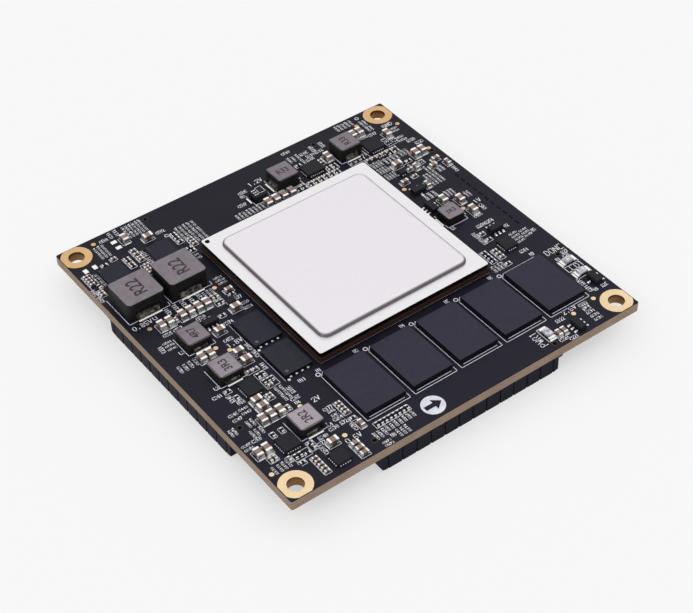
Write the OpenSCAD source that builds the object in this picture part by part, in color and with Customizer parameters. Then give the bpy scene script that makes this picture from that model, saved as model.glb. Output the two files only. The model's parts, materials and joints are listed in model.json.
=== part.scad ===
// System on module: a square circuit board with a lidded processor, a row of memory chips,
// its power converters, and four board-to-board connectors under its edges.
// Units are millimetres. The origin is the middle of the square, at the connectors' mating face.

/* [Board] */
// Width of the board along X
board_w = 80; // [80:1:120]
// Depth of the board along Y
board_d = 80; // [80:1:120]
// Thickness of the board
board_t = 2; // [1.2:0.1:3.2]
// Radius of the board's corners
board_corner_r = 0.4; // [0.2:0.1:2.5]

/* [Mounting holes] */
// Clear diameter of a mounting hole
hole_d = 3.2; // [2.2:0.1:3.6]
// Distance from a hole's centre to the two nearest edges
hole_inset = 3; // [2.6:0.1:3.6]
// Diameter of the plated land round a hole
land_d = 6.3; // [5:0.1:6.6]
// Thickness of the plating on the board and in the hole
plating_t = 0.05; // [0.03:0.01:0.1]
// Bare margin between a land and the board's edge
land_margin = 0.15; // [0:0.05:0.5]
// Diameter of a round test pad
test_pad_d = 0.95; // [0.6:0.05:1.1]

/* [Connectors] */
// Length of a connector along the board's edge
connector_l = 42.8; // [30:0.2:56]
// Width of a connector across the edge
connector_w = 4.3; // [3.6:0.1:5.5]
// Height of a connector, which sets the gap under the board
connector_h = 4; // [3:0.1:8]
// Distance from the board's edge to the connector's outer wall
connector_setback = 0.35; // [0.1:0.05:1.5]
// Length of the ledge that a connector's ends have along the board
ledge_l = 0.95; // [0.3:0.05:1.2]
// Height of that ledge
ledge_h = 0.9; // [0.5:0.1:1.4]
// Length of the lead-in chamfer at the mating face's ends
lead_in_l = 1.1; // [0.4:0.1:1.4]
// Height of that chamfer
lead_in_h = 0.3; // [0.1:0.05:0.8]
// Distance between the upright grooves of a wall
groove_pitch = 3.2; // [2:0.1:6]
// Width of a groove
groove_w = 0.3; // [0.1:0.05:0.6]
// Depth of a groove
groove_depth = 0.15; // [0.05:0.05:0.3]
// Width of the mating slot
slot_w = 1.9; // [1.4:0.1:2.3]
// Thickness of the housing between the slot's floor and the board
slot_floor = 0.9; // [0.5:0.1:1.4]
// Length of solid housing at each end of the slot
slot_end = 2.6; // [2.1:0.1:4]
// Distance between neighbouring contacts
contact_pitch = 0.8; // [0.6:0.05:1.5]
// Width of a contact along the row
contact_w = 0.35; // [0.2:0.05:0.45]
// Thickness of the contacts' sheet metal
contact_t = 0.2; // [0.1:0.05:0.3]
// Distance from the mating face to a contact's tip
contact_tip = 0.5; // [0.2:0.1:1]
// Diameter of an alignment peg
peg_d = 0.8; // [0.5:0.05:1]
// Length of a peg in the board
peg_l = 1; // [0.4:0.1:1.1]
// Distance from a connector's end to its peg
peg_end = 1.1; // [0.8:0.1:1.5]
// Sideways offset of the two pegs, one to each side of their line
peg_offset = 0.65; // [0:0.05:0.7]
// Distance of the pegs' line from the connector's middle, towards the board's edge
peg_shift = 0.35; // [0:0.05:0.6]
// Clearance round a peg or a contact
fit_gap = 0.05; // [0.02:0.01:0.1]

/* [Processor] */
// Side of the square package
package_w = 40; // [31:0.5:40.5]
// Place of the package's centre, from the board's centre along X
package_x = 3.1; // [2:0.1:3.5]
// Place of the package's centre, from the board's centre along Y
package_y = 3.4; // [2.5:0.1:3.6]
// Thickness of the package's substrate
substrate_t = 1.3; // [0.8:0.1:1.8]
// Height of the solder balls under the substrate
ball_h = 0.4; // [0.25:0.05:0.6]
// Diameter of a solder ball
ball_d = 0.6; // [0.4:0.05:0.7]
// Distance between neighbouring balls
ball_pitch = 1; // [0.8:0.1:1.27]
// Rows of balls round the rim of the package
ball_rows = 2; // [1:1:3]
// Step in from the substrate's edge to the lid's edge
lid_inset = 0.15; // [0:0.05:0.6]
// Thickness of the lid's sheet
lid_t = 0.9; // [0.6:0.05:1.5]
// Height of the lid's plateau above its brim
plateau_h = 0.8; // [0.5:0.05:1]
// Width of the brim round the plateau
brim_w = 2.5; // [1.5:0.1:4]
// Radius of the plateau's rounded upper edge
plateau_edge_r = 0.85; // [0.7:0.05:1.2]
// Radius of the plateau's corners
plateau_corner_r = 2; // [1:0.1:4]
// Radius of the lid's corners
lid_corner_r = 0.5; // [0.2:0.1:1.5]
// Thickness of the lid's wall beside the hollow
lid_wall = 1.8; // [1:0.1:3]
// Thickness of the adhesive under the brim
adhesive_t = 0.15; // [0.05:0.05:0.3]
// Side of the square silicon die
die_w = 24; // [12:1:25]
// Thickness of the paste between the die and the lid
paste_t = 0.1; // [0.05:0.05:0.2]

/* [Memory] */
// Width of a memory chip
memory_w = 9; // [8:0.1:9.3]
// Length of a memory chip
memory_l = 13; // [10:0.5:13.5]
// Thickness of a memory chip
memory_t = 0.8; // [0.6:0.05:1]
// Height of the solder balls under a memory chip
memory_ball_h = 0.3; // [0.2:0.05:0.4]
// Diameter of those balls
memory_ball_d = 0.45; // [0.3:0.05:0.55]
// Distance between those balls
memory_ball_pitch = 0.8; // [0.65:0.05:1]
// Number of memory chips in the row
memory_count = 5; // [1:1:5]
// Gap between neighbouring memory chips
memory_gap = 1.7; // [1:0.1:1.9]
// Gap between the processor and the memory chips
memory_row_gap = 2.4; // [1.5:0.1:2.6]
// Offset of the row's middle from the processor's middle
memory_row_x = 4.6; // [3.6:0.1:4.8]

/* [Flash] */
// Width of a flash chip
flash_w = 6; // [5:0.1:6.3]
// Length of a flash chip
flash_l = 8; // [6:0.1:8.5]
// Thickness of a flash chip
flash_t = 0.8; // [0.6:0.05:1]
// Gap between the flash chips and the processor
flash_gap = 1; // [0.6:0.1:1.5]
// Gap between the two flash chips
flash_pair_gap = 1.6; // [1.3:0.1:2]

/* [Inductors] */
// Side along X of the two core inductors
core_inductor_w = 8.2; // [6:0.1:8.8]
// Side along Y of the two core inductors
core_inductor_l = 8; // [6:0.1:8.8]
// Height of the core inductors
core_inductor_h = 4; // [3:0.1:5]
// Side of the three low inductors along the west edge
low_inductor_w = 5.1; // [4:0.1:5.5]
// Height of the low inductors
low_inductor_h = 2; // [1.5:0.1:2.5]
// Side of the two tall inductors along the north edge
tall_inductor_w = 5.1; // [4:0.1:5.5]
// Height of the tall inductors
tall_inductor_h = 2.9; // [2:0.1:3.5]
// Side of the small inductor by the east edge
east_inductor_w = 4.15; // [3:0.05:4.5]
// Height of the small inductor by the east edge
east_inductor_h = 1.7; // [1.2:0.1:2]
// Side of the small black inductor by the north edge
black_inductor_w = 3.1; // [2.5:0.1:3.3]
// Height of the small black inductor
black_inductor_h = 1.4; // [1.2:0.1:2]
// Radius of the core inductors' upright edges
core_inductor_corner_r = 1.1; // [0.4:0.05:1.2]
// Radius of the other inductors' upright edges
inductor_corner_r = 0.6; // [0.2:0.05:0.9]
// Radius of the inductors' upper edges
inductor_edge_r = 0.25; // [0.1:0.05:0.4]
// Thickness of the terminal strip
terminal_t = 0.2; // [0.1:0.05:0.3]
// Depth of a terminal's face behind the block's face
terminal_recess = 0.15; // [0.05:0.05:0.3]
// Length of the soldered toe in front of a block
terminal_toe = 0.55; // [0.2:0.05:0.6]

/* [Chips] */
// Size of a power stage along X
stage_w = 5; // [4:0.1:5.4]
// Size of a power stage along Y
stage_l = 6; // [5:0.1:6.2]
// Thickness of the flat leadless chips
flat_chip_t = 0.8; // [0.5:0.05:1]
// Distance between the pads of a leadless chip
pad_pitch = 0.5; // [0.4:0.05:0.8]
// Width of such a pad
pad_w = 0.25; // [0.15:0.05:0.3]
// Reach of such a pad beyond the chip's side
pad_reach = 0.15; // [0.05:0.05:0.2]
// Length of a leaded chip's body
leaded_l = 2.9; // [2:0.1:3.1]
// Width of a leaded chip's body
leaded_w = 1.6; // [1.2:0.1:1.7]
// Height of a leaded chip
leaded_h = 1; // [0.7:0.05:1.2]
// Reach of a bent lead beyond the body
lead_reach = 0.6; // [0.5:0.05:0.7]
// Width of a bent lead
lead_w = 0.4; // [0.25:0.05:0.5]
// Distance between bent leads
lead_pitch = 0.95; // [0.65:0.05:1]

/* [Chip capacitors, resistors and lamps] */
// Length of a large capacitor
large_l = 2; // [1.6:0.05:2.1]
// Width of a large capacitor
large_w = 1.25; // [0.8:0.05:1.4]
// Height of a large capacitor
large_h = 1.2; // [0.8:0.05:1.4]
// Length of a medium capacitor
medium_l = 1.6; // [1.4:0.05:1.7]
// Width of a medium capacitor
medium_w = 0.85; // [0.7:0.05:1]
// Height of a medium capacitor
medium_h = 0.8; // [0.5:0.05:0.9]
// Length of a small capacitor or resistor
small_l = 1; // [0.8:0.05:1.1]
// Width of a small capacitor or resistor
small_w = 0.5; // [0.35:0.05:0.55]
// Height of a small capacitor
small_cap_h = 0.5; // [0.3:0.05:0.6]
// Height of a small resistor
small_res_h = 0.35; // [0.25:0.05:0.45]
// How far the metal ends stand proud of the body
terminal_lip = 0.02; // [0.01:0.01:0.04]
// Length of a signal lamp
lamp_l = 3.2; // [2.6:0.1:3.4]
// Width of a signal lamp
lamp_w = 1.45; // [1:0.05:1.6]
// Length of a lamp's metal ends
lamp_end = 0.6; // [0.3:0.05:0.8]
// Height of a lamp's base
lamp_base_h = 0.35; // [0.2:0.05:0.5]
// Height of a lamp's lens above the base
lamp_lens_h = 0.4; // [0.2:0.05:0.5]
// Distance between the capacitors under the processor
underside_pitch = 3.6; // [2:0.1:6]

/* [Hidden] */
$fn = 48;

// A cut runs past the face it opens by this much
over = 0.1;

// Heights of the board's two faces
board_bottom = connector_h;
board_top = connector_h + board_t;

// Places on the board, measured in from its corners or edges
function nw(in_x, in_y) = [-board_w / 2 + in_x, board_d / 2 - in_y];
function ne(in_x, in_y) = [board_w / 2 - in_x, board_d / 2 - in_y];
function sw(in_x, in_y) = [-board_w / 2 + in_x, -board_d / 2 + in_y];
function se(in_x, in_y) = [board_w / 2 - in_x, -board_d / 2 + in_y];
function north(x, in_y) = [x, board_d / 2 - in_y];

// Places beside the processor, measured out from its edges, and in front of the memory row
function west(out_x, y) = [package_x - package_w / 2 - out_x, y];
function east(out_x, y) = [package_x + package_w / 2 + out_x, y];
function before_memory(x, out_y) = [x, memory_y - memory_l / 2 - out_y];

// A straight run of places: the first, the step from one to the next, and how many
function run(first, step, count) = [for (k = [0 : count - 1]) first + k * step];
function turned(places, angle) = [for (p = places) [p, angle]];

// Processor levels
package_place = [package_x, package_y];
substrate_bottom = board_top + ball_h;
substrate_top = substrate_bottom + substrate_t;
lid_bottom = substrate_top + adhesive_t;
lid_w = package_w - 2 * lid_inset;
plateau_w = lid_w - 2 * brim_w;
hollow_w = plateau_w - 2 * lid_wall;
// The adhesive stays back from the brim's outer and inner edges
adhesive_setback = 0.2;
adhesive_w = lid_w - 2 * (lid_inset + adhesive_setback);
// The lid is one pressed sheet, so the hollow is as deep as the plateau is high
die_t = plateau_h + adhesive_t - paste_t;

// Memory row and flash pair follow the processor's edges
memory_pitch = memory_w + memory_gap;
memory_y = package_y - package_w / 2 - memory_row_gap - memory_l / 2;
memory_middle = package_x + memory_row_x;
function memory_place(k) = [memory_middle + (k - (memory_count - 1) / 2) * memory_pitch, memory_y];
flash_x = package_x - package_w / 2 - flash_gap - flash_w / 2;
flash_drop = 10.05;
flash_pitch = flash_l + flash_pair_gap;
function flash_place(k) = [flash_x, package_y - flash_drop + (0.5 - k) * flash_pitch];
flash_pad_count = 4;
flash_pad_pitch = 1.27;
flash_pad_w = 0.45;

// Inductors
core_inductor_in_x = 5.7;
core_inductor_in_y = 21.5;
core_inductor_gap = 1.3;
core_inductor_step = [core_inductor_w + core_inductor_gap, 0];
core_inductor_places = run(nw(core_inductor_in_x, core_inductor_in_y), core_inductor_step, 2);
low_inductor_gap = 12.1;
low_inductor_out = low_inductor_gap + low_inductor_w / 2;
low_inductor_places = [west(low_inductor_out, 3.2), west(low_inductor_out, -7.35), sw(12.45, 13.3)];
tall_inductor_x = 8.2;
tall_inductor_pitch = 15.8;
tall_inductor_in_y = 8.9;
tall_inductor_places = run(north(tall_inductor_x, tall_inductor_in_y), [tall_inductor_pitch, 0], 2);
tall_inductor_turns = [90, 0];
east_inductor_gap = 2.825;
east_inductor_y = 1.25;
east_inductor_place = east(east_inductor_gap + east_inductor_w / 2, east_inductor_y);
black_inductor_x = 1.55;
black_inductor_in_y = 9.7;
black_inductor_place = north(black_inductor_x, black_inductor_in_y);
// Share of a block's side that its terminal takes, and of its height that the terminal climbs
terminal_share = 0.62;
terminal_climb = 0.45;
terminal_foot_share = 0.22;

// Power stages and the other leadless chips: place, size along X, size along Y
stage_places = [nw(6.2, 12.7), nw(17, 12.7)];
regulator_places = [
    [north(15.1, 9.6), 4.2, 3.4],
    [ne(10.45, 11.3), 3.9, 3.4],
    [west(13.5, -13.6), 3.2, 3.9],
    [sw(7.3, 11.3), 3.6, 3.6],
    [sw(12.5, 3.1), 3.1, 3.1],
    [east(8.1, -12.2), 2.9, 3.2],
    [west(3.4, 7.7), 1.6, 1.6],
    [ne(11.15, 22.1), 1.6, 1.1]
];
dimple_d = 0.4;
dimple_depth = 0.06;
dimple_inset = 0.45;
flash_dimple_d = 0.8;
flash_dimple_inset = 0.95;

// Leaded chips: place, turn, leads on the far side, leads on the near side
leaded_places = [
    [west(9.85, 5.2), 0, 3, 3],
    [east(9.35, -7.2), 0, 3, 3],
    [east(3.55, 5.6), 90, 3, 3],
    [east(4.8, 11.5), 0, 2, 1],
    [se(2.2, 10), 90, 1, 2],
    [se(13.2, 2.4), 90, 3, 3]
];
lead_t = 0.15;
lead_shoulder = 0.3;
leaded_gap = 0.1;
leaded_draft = 0.1;

// Signal lamps: place and turn
lamp_places = [[se(2.75, 16.9), 0], [se(2.75, 12.9), 0], [se(19.2, 4.2), 90]];

// Large capacitors: place and turn
large_places = concat(
    turned([nw(13.05, 4.6)], 90),
    turned([nw(17, 6.9)], 0),
    turned([for (out_x = [17.5, 15.7, 12.9, 11.1, 9.3, 7.5]) west(out_x, 9.8)], 90),
    turned([west(3.75, 5.5), west(9.65, 2.05), west(10.05, -4.75), west(10.05, -7.4)], 0),
    turned([west(16.2, -2), west(14.4, -2)], 90),
    turned([west(14.4, -17), west(14.4, -18.9)], 0),
    turned(run(sw(6.9, 18.4), [1.85, 0], 3), 90),
    turned(run(sw(1.7, 12.3), [1.8, 0], 2), 90),
    turned([sw(13.55, 6.65)], 0),
    turned(run(north(1.7, 13.15), [1.9, 0], 4), 90),
    turned([north(19.8, 8.5)], 90),
    turned(run(ne(11.75, 5.95), [1.65, 0], 2), 90),
    turned([ne(5.8, 10), ne(5.2, 18.9), ne(3.45, 18.8)], 90),
    turned([ne(10.6, 19.5)], 0),
    turned([east(6.7, 5.8), east(9.5, 3.9), east(9.5, -0.2)], 90)
);
large_end = 0.5;

// Medium capacitors: place and turn
medium_places = concat(
    turned([west(2, 10.6)], 0),
    turned(run(sw(16.4, 1.3), [0, 1.35], 3), 0),
    turned([sw(20.1, 7.2)], 90),
    turned([ne(2.95, 22.6), ne(4.7, 24.1), ne(12.65, 24.75)], 0),
    turned([ne(1.7, 25.1), ne(7.75, 22.3)], 90),
    turned([east(7.4, 11.8)], 90),
    turned(run(se(17.6, 2.8), [1.2, 0], 2), 90)
);
medium_end = 0.35;

// Small capacitors: place and turn
small_cap_places = concat(
    turned(run(nw(1.4, 9.3), [0, -0.87], 4), 0),
    turned([nw(12.7, 8.3), nw(12.7, 9.5), nw(12.7, 10.7), nw(12.7, 11.5), nw(12.6, 13.4)], 0),
    turned(run(nw(12.2, 14.2), [0, -0.8], 3), 0),
    turned(run(nw(23.4, 12.2), [0, -0.9], 3), 0),
    turned([nw(1.5, 14.9), nw(1.5, 15.7), nw(8.4, 8)], 0),
    turned(run(west(5.6, 10.6), [0.9, 0], 2), 90),
    turned([west(14.3, 9.8)], 90),
    turned(run(west(11.8, -17.7), [0, 0.8], 2), 0),
    turned([west(11.2, -10), west(10, -10), west(10.1, -15.1)], 0),
    turned(run(sw(2.75, 10), [0.9, 0], 2), 90),
    turned([sw(5.4, 8.2), sw(10.4, 8), sw(12.3, 18.4)], 90),
    turned(run(sw(19.8, 11.1), [0, 0.9], 4), 0),
    turned(run(sw(8.9, 2), [0, 0.93], 5), 0),
    turned(run(north(12.2, 12.9), [1.3, 0], 6), 0),
    turned(run(north(9.2, 12.6), [1.25, 0], 2), 0),
    turned(run(north(18, 8.2), [0, -0.85], 2), 0),
    turned(run(ne(14, 14.4), [1.3, 0], 6), 0),
    turned([ne(9.7, 24.3), ne(9.2, 22)], 0),
    turned(run(east(5, -12.1), [0, -1.1], 3), 0),
    turned([east(6.3, -6.7), se(8.8, 4.9)], 0)
);
small_cap_end = 0.24;

// Small resistors: place and turn
small_res_places = concat(
    turned([nw(10.4, 9.5), nw(10.4, 10.2), nw(10.4, 11.4), nw(10.4, 12.1)], 0),
    turned([nw(21.5, 8.9), nw(21.5, 9.6), nw(21.5, 10.5), nw(21.5, 11.7)], 0),
    turned([nw(2.1, 13.2)], 90),
    turned([nw(6.1, 8.5), nw(21.8, 14.4), nw(22, 15.4)], 0),
    turned(run(west(5.6, 8.8), [0.9, 0], 2), 90),
    turned([west(2.1, 9.4), west(6.8, 5.5), west(17.1, -11.7)], 0),
    turned([west(10.5, -11.9), west(9.5, -11.8), west(16.6, -14)], 90),
    turned([west(10.5, -13.8), west(9.6, -13.8), west(8.8, -13.8)], 90),
    turned([sw(19.8, 9.3)], 0),
    turned([sw(6.6, 8), sw(7.6, 8), sw(6.4, 14.6), sw(8.3, 14.6)], 90),
    turned([sw(8.7, 7.4), sw(10.4, 9.15), sw(6.75, 6.2)], 0),
    turned(run(before_memory(-17.75, 2.6), [0.95, 0], 8), 90),
    turned(run(north(12.2, 13.8), [1.3, 0], 6), 0),
    turned(run(north(9.2, 13.5), [1.25, 0], 2), 0),
    turned(run(north(18.2, 11), [1.2, 0], 2), 0),
    turned(run(north(18.2, 11.8), [1.2, 0], 2), 0),
    turned([north(13.6, 6.7)], 0),
    turned(run(north(22.9, 13.2), [1.2, 0], 3), 0),
    turned(run(ne(8.8, 15.5), [1.3, 0], 2), 0),
    turned(run(ne(8.8, 19.5), [1.2, 0], 2), 0),
    turned(run(east(2.9, -11.3), [0, -1], 4), 0),
    turned([east(6.4, -8.8), east(4.7, -16.5)], 0)
);
small_res_end = 0.22;

// Round test pads
test_pad_places = [
    nw(7.6, 1.7), ne(1.6, 8.1), ne(8.9, 3.4), ne(1.6, 18.7), ne(13.95, 26.3),
    west(19.5, 10.9), west(3.7, 12.9), west(12.6, -1), west(10.8, -3), east(8.5, 1.7),
    sw(14.2, 17.4), sw(1, 7.3), sw(16.3, 6.9), se(6, 6.1), se(11.7, 5.3)
];

// Tinned pads left bare: place and turn
bare_pad_places = concat(
    turned([nw(11.1, 3.65), nw(11.1, 5.6)], 0),
    turned([nw(2.35, 7.7), nw(4.4, 7.7)], 90)
);
bare_pad_w = 1.2;
bare_pad_l = 0.9;

// Connectors: the middle of each edge, and the turn that brings the outer wall to that edge
connector_line = connector_setback + connector_w / 2;
connector_names = ["south", "east", "north", "west"];
connector_places = [
    [0, connector_line - board_d / 2], [board_w / 2 - connector_line, 0],
    [0, board_d / 2 - connector_line], [connector_line - board_w / 2, 0]
];
peg_x = connector_l / 2 - peg_end;
// The west connector has its inner peg at the other end
peg_sides = [1, 1, 1, -1];
slot_l = connector_l - 2 * slot_end;
contact_count = floor((slot_l - contact_w - 2 * fit_gap) / contact_pitch) + 1;
contact_row_l = (contact_count - 1) * contact_pitch + contact_w;
contact_foot_setback = 0.4;
contact_foot_end = connector_w / 2 - contact_foot_setback;
groove_count = floor((connector_l / 2 - ledge_l) / groove_pitch);

// Grids under the packages
ball_edge = 0.8;
ball_last = floor((package_w / 2 - ball_edge) / ball_pitch);
memory_ball_edge = 0.45;
memory_ball_columns = [-4, -3, -2, 2, 3, 4];
memory_ball_half = floor((memory_l / 2 - memory_ball_edge - memory_ball_pitch / 2) / memory_ball_pitch);
underside_margin = 3;
underside_half = floor((package_w / 2 - underside_margin) / underside_pitch);

// Colours
mask_black = [0.13, 0.13, 0.16];
gold = [0.87, 0.70, 0.45];
tin = [0.80, 0.80, 0.82];
lid_white = [0.91, 0.90, 0.91];
mould_black = [0.20, 0.20, 0.23];
inductor_grey = [0.46, 0.43, 0.44];
ceramic_tan = [0.55, 0.45, 0.38];
connector_blue = [0.13, 0.14, 0.19];

// Plain outline shared by the board, the lid and the moulded blocks
module rounded_rect(w, l, r) {
    square([w - 2 * r, l], center = true);
    square([w, l - 2 * r], center = true);
    for (x = [-1, 1], y = [-1, 1])
        translate([x * (w / 2 - r), y * (l / 2 - r)])
            circle(r);
}

// Sets its children on the board's upper face at one place
module on_board(place, turn = 0) {
    translate([place.x, place.y, board_top])
        rotate(turn)
            children();
}

// Repeats its children at every place and turn of a list
module at_each(list) {
    for (item = list)
        on_board(item[0], item[1])
            children();
}

// Repeats its children at the four mounting holes
module at_holes() {
    for (x = [-1, 1], y = [-1, 1])
        translate([x * (board_w / 2 - hole_inset), y * (board_d / 2 - hole_inset)])
            children();
}

// Brings its children, drawn along X with the outer wall to -Y, to one edge of the board
module at_edge(k) {
    translate([connector_places[k].x, connector_places[k].y])
        rotate(90 * k)
            children();
}

// Repeats its children at a connector's two pegs
module at_pegs(k) {
    for (side = [-1, 1])
        translate([side * peg_x, -peg_shift - side * peg_sides[k] * peg_offset])
            children();
}

module circuit_board() {
    color(mask_black)
        translate([0, 0, board_bottom])
            linear_extrude(board_t)
                difference() {
                    rounded_rect(board_w, board_d, board_corner_r);
                    at_holes()
                        circle(d = hole_d + 2 * plating_t);
                    for (k = [0 : 3])
                        at_edge(k)
                            at_pegs(k)
                                circle(d = peg_d + 2 * fit_gap);
                }
}

// One land, cut off where it would run over the board's edge
module land_outline() {
    intersection() {
        at_holes()
            circle(d = land_d);
        rounded_rect(board_w - 2 * land_margin, board_d - 2 * land_margin, board_corner_r);
    }
}

module mounting_hole_plating() {
    color(gold)
        difference() {
            union() {
                for (z = [board_bottom - plating_t, board_top])
                    translate([0, 0, z])
                        linear_extrude(plating_t)
                            land_outline();
                translate([0, 0, board_bottom])
                    at_holes()
                        cylinder(d = hole_d + 2 * plating_t, h = board_t);
            }
            translate([0, 0, board_bottom - plating_t - over])
                at_holes()
                    cylinder(d = hole_d, h = board_t + 2 * plating_t + 2 * over);
        }
}

module test_pads() {
    color(gold)
        for (place = test_pad_places)
            on_board(place)
                cylinder(d = test_pad_d, h = plating_t);
}

module bare_solder_pads() {
    color(tin)
        at_each(bare_pad_places)
            translate([-bare_pad_w / 2, -bare_pad_l / 2, 0])
                cube([bare_pad_w, bare_pad_l, plating_t]);
}

// Balls of the outer rows: those of the inner rows lie out of sight behind them
module processor_solder_balls() {
    color(tin)
        on_board(package_place)
            for (i = [-ball_last : ball_last], j = [-ball_last : ball_last])
                if (max(abs(i), abs(j)) > ball_last - ball_rows)
                    translate([i, j] * ball_pitch)
                        cylinder(d = ball_d, h = ball_h);
}

module processor_substrate() {
    color([0.22, 0.16, 0.13])
        on_board(package_place)
            translate([-package_w / 2, -package_w / 2, ball_h])
                cube([package_w, package_w, substrate_t]);
}

module processor_die() {
    color([0.35, 0.36, 0.40])
        translate([package_x - die_w / 2, package_y - die_w / 2, substrate_top])
            cube([die_w, die_w, die_t]);
}

module processor_thermal_paste() {
    color([0.70, 0.70, 0.70])
        translate([package_x - die_w / 2, package_y - die_w / 2, substrate_top + die_t])
            cube([die_w, die_w, paste_t]);
}

module processor_lid_adhesive() {
    color([0.10, 0.10, 0.10])
        translate([package_x, package_y, substrate_top])
            linear_extrude(adhesive_t)
                difference() {
                    rounded_rect(adhesive_w, adhesive_w, lid_corner_r);
                    square(hollow_w + 2 * adhesive_setback, center = true);
                }
}

// Section of a slab's rim: an arc falls from the flat top to the foot, which is r away from zero
module rim_section(r, edge_r, h) {
    run = sqrt(edge_r * edge_r - (edge_r - h) * (edge_r - h));
    square([r - run, h]);
    intersection() {
        square([r, h]);
        translate([r - run, h - edge_r])
            circle(edge_r);
    }
}

// A slab with round corners, whose upper edge is rounded in the same way all round
module pressed_slab(w, r, edge_r, h) {
    straight = w - 2 * r;
    linear_extrude(h)
        square(straight, center = true);
    for (turn = [0 : 90 : 270])
        rotate(turn) {
            translate([straight / 2, 0, 0])
                rotate([90, 0, 0])
                    linear_extrude(straight, center = true)
                        rim_section(r, edge_r, h);
            translate([straight / 2, straight / 2, 0])
                rotate_extrude()
                    rim_section(r, edge_r, h);
        }
}

module processor_lid() {
    color(lid_white)
        translate([package_x, package_y, lid_bottom])
            difference() {
                union() {
                    linear_extrude(lid_t)
                        rounded_rect(lid_w, lid_w, lid_corner_r);
                    translate([0, 0, lid_t])
                        pressed_slab(plateau_w, plateau_corner_r, plateau_edge_r, plateau_h);
                }
                translate([0, 0, -over])
                    linear_extrude(plateau_h + over)
                        rounded_rect(hollow_w, hollow_w, plateau_corner_r);
            }
}

// Flat moulded chip with a round dimple by its first pin, on the side that is given
module flat_chip(w, l, t, dimple = dimple_d, inset = dimple_inset, side = 1) {
    difference() {
        translate([-w / 2, -l / 2, 0])
            cube([w, l, t]);
        translate([inset - w / 2, side * (l / 2 - inset), t - dimple_depth])
            cylinder(d = dimple, h = dimple_depth + over);
    }
}

module memory_chip(k) {
    color(mould_black)
        on_board(memory_place(k))
            translate([0, 0, memory_ball_h])
                flat_chip(memory_w, memory_l, memory_t);
}

module memory_solder_balls() {
    color(tin)
        for (k = [0 : memory_count - 1])
            on_board(memory_place(k))
                for (i = memory_ball_columns, j = [-memory_ball_half : memory_ball_half + 1])
                    if (abs(i) == max(memory_ball_columns))
                        translate([i, j - 0.5] * memory_ball_pitch)
                            cylinder(d = memory_ball_d, h = memory_ball_h);
}

module flash_chip(k) {
    color(mould_black)
        on_board(flash_place(k))
            flat_chip(flash_w, flash_l, flash_t, flash_dimple_d, flash_dimple_inset, -1);
}

// A row of flat pads against one side of a leadless chip, centred on that side
module pad_row(count, pitch, w, reach, h) {
    for (k = [0 : count - 1])
        translate([(k - (count - 1) / 2) * pitch - w / 2, 0, 0])
            cube([w, reach, h]);
}

module flash_chip_pads() {
    color(tin)
        for (k = [0, 1], turn = [0, 180])
            on_board(flash_place(k), turn)
                translate([0, flash_l / 2, 0])
                    pad_row(flash_pad_count, flash_pad_pitch, flash_pad_w, 2 * pad_reach, terminal_t);
}

// Upright slab with rounded upper edges, drawn across X and run along Y
module round_topped(w, h, r, length) {
    rotate([90, 0, 0])
        linear_extrude(length, center = true) {
            translate([-w / 2, 0])
                square([w, h - r]);
            translate([-w / 2 + r, 0])
                square([w - 2 * r, h]);
            for (x = [-1, 1])
                translate([x * (w / 2 - r), h - r])
                    circle(r);
        }
}

// Section of the bent strip that lies under a block and climbs its side. The side is at zero.
module terminal_section(foot, climb, toe) {
    back = -terminal_recess - terminal_t;
    translate([-foot, 0])
        square([foot + toe, terminal_t]);
    translate([back, 0])
        square([terminal_t, climb]);
}

// The two strips of an inductor, on the sides that face along Y
module inductor_terminals(w, l, h) {
    for (turn = [0, 180])
        rotate(turn)
            translate([0, l / 2, 0])
                rotate([90, 0, 90])
                    linear_extrude(w * terminal_share, center = true)
                        terminal_section(l * terminal_foot_share, h * terminal_climb, terminal_toe);
}

// Moulded inductor block, with a pocket for each terminal strip
module inductor_block(w, l, h, corner_r = inductor_corner_r) {
    pocket = terminal_recess + terminal_t;
    pocket_w = w * terminal_share + 2 * terminal_recess;
    difference() {
        intersection() {
            linear_extrude(h)
                rounded_rect(w, l, corner_r);
            round_topped(w, h, inductor_edge_r, l);
            rotate(90)
                round_topped(l, h, inductor_edge_r, w);
        }
        for (turn = [0, 180])
            rotate(turn) {
                translate([-pocket_w / 2, l / 2 - pocket, -over])
                    cube([pocket_w, pocket + over, h * terminal_climb + terminal_recess + over]);
                translate([-w * terminal_share / 2, l / 2 - l * terminal_foot_share, -over])
                    cube([w * terminal_share, l * terminal_foot_share, terminal_t + over]);
            }
    }
}

module core_inductor(k) {
    color(inductor_grey)
        on_board(core_inductor_places[k])
            inductor_block(core_inductor_w, core_inductor_l, core_inductor_h, core_inductor_corner_r);
}

module core_inductor_terminals() {
    color(tin)
        for (place = core_inductor_places)
            on_board(place)
                inductor_terminals(core_inductor_w, core_inductor_l, core_inductor_h);
}

module low_inductor(k) {
    color(inductor_grey)
        on_board(low_inductor_places[k])
            inductor_block(low_inductor_w, low_inductor_w, low_inductor_h);
}

module low_inductor_terminals() {
    color(tin)
        for (place = low_inductor_places)
            on_board(place)
                inductor_terminals(low_inductor_w, low_inductor_w, low_inductor_h);
}

module tall_inductor(k) {
    color(inductor_grey)
        on_board(tall_inductor_places[k], tall_inductor_turns[k])
            inductor_block(tall_inductor_w, tall_inductor_w, tall_inductor_h);
}

module tall_inductor_terminals() {
    color(tin)
        for (k = [0, 1])
            on_board(tall_inductor_places[k], tall_inductor_turns[k])
                inductor_terminals(tall_inductor_w, tall_inductor_w, tall_inductor_h);
}

module east_inductor() {
    color(inductor_grey)
        on_board(east_inductor_place, 90)
            inductor_block(east_inductor_w, east_inductor_w, east_inductor_h);
}

module black_inductor() {
    color(mould_black)
        on_board(black_inductor_place, 90)
            inductor_block(black_inductor_w, black_inductor_w, black_inductor_h);
}

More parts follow.
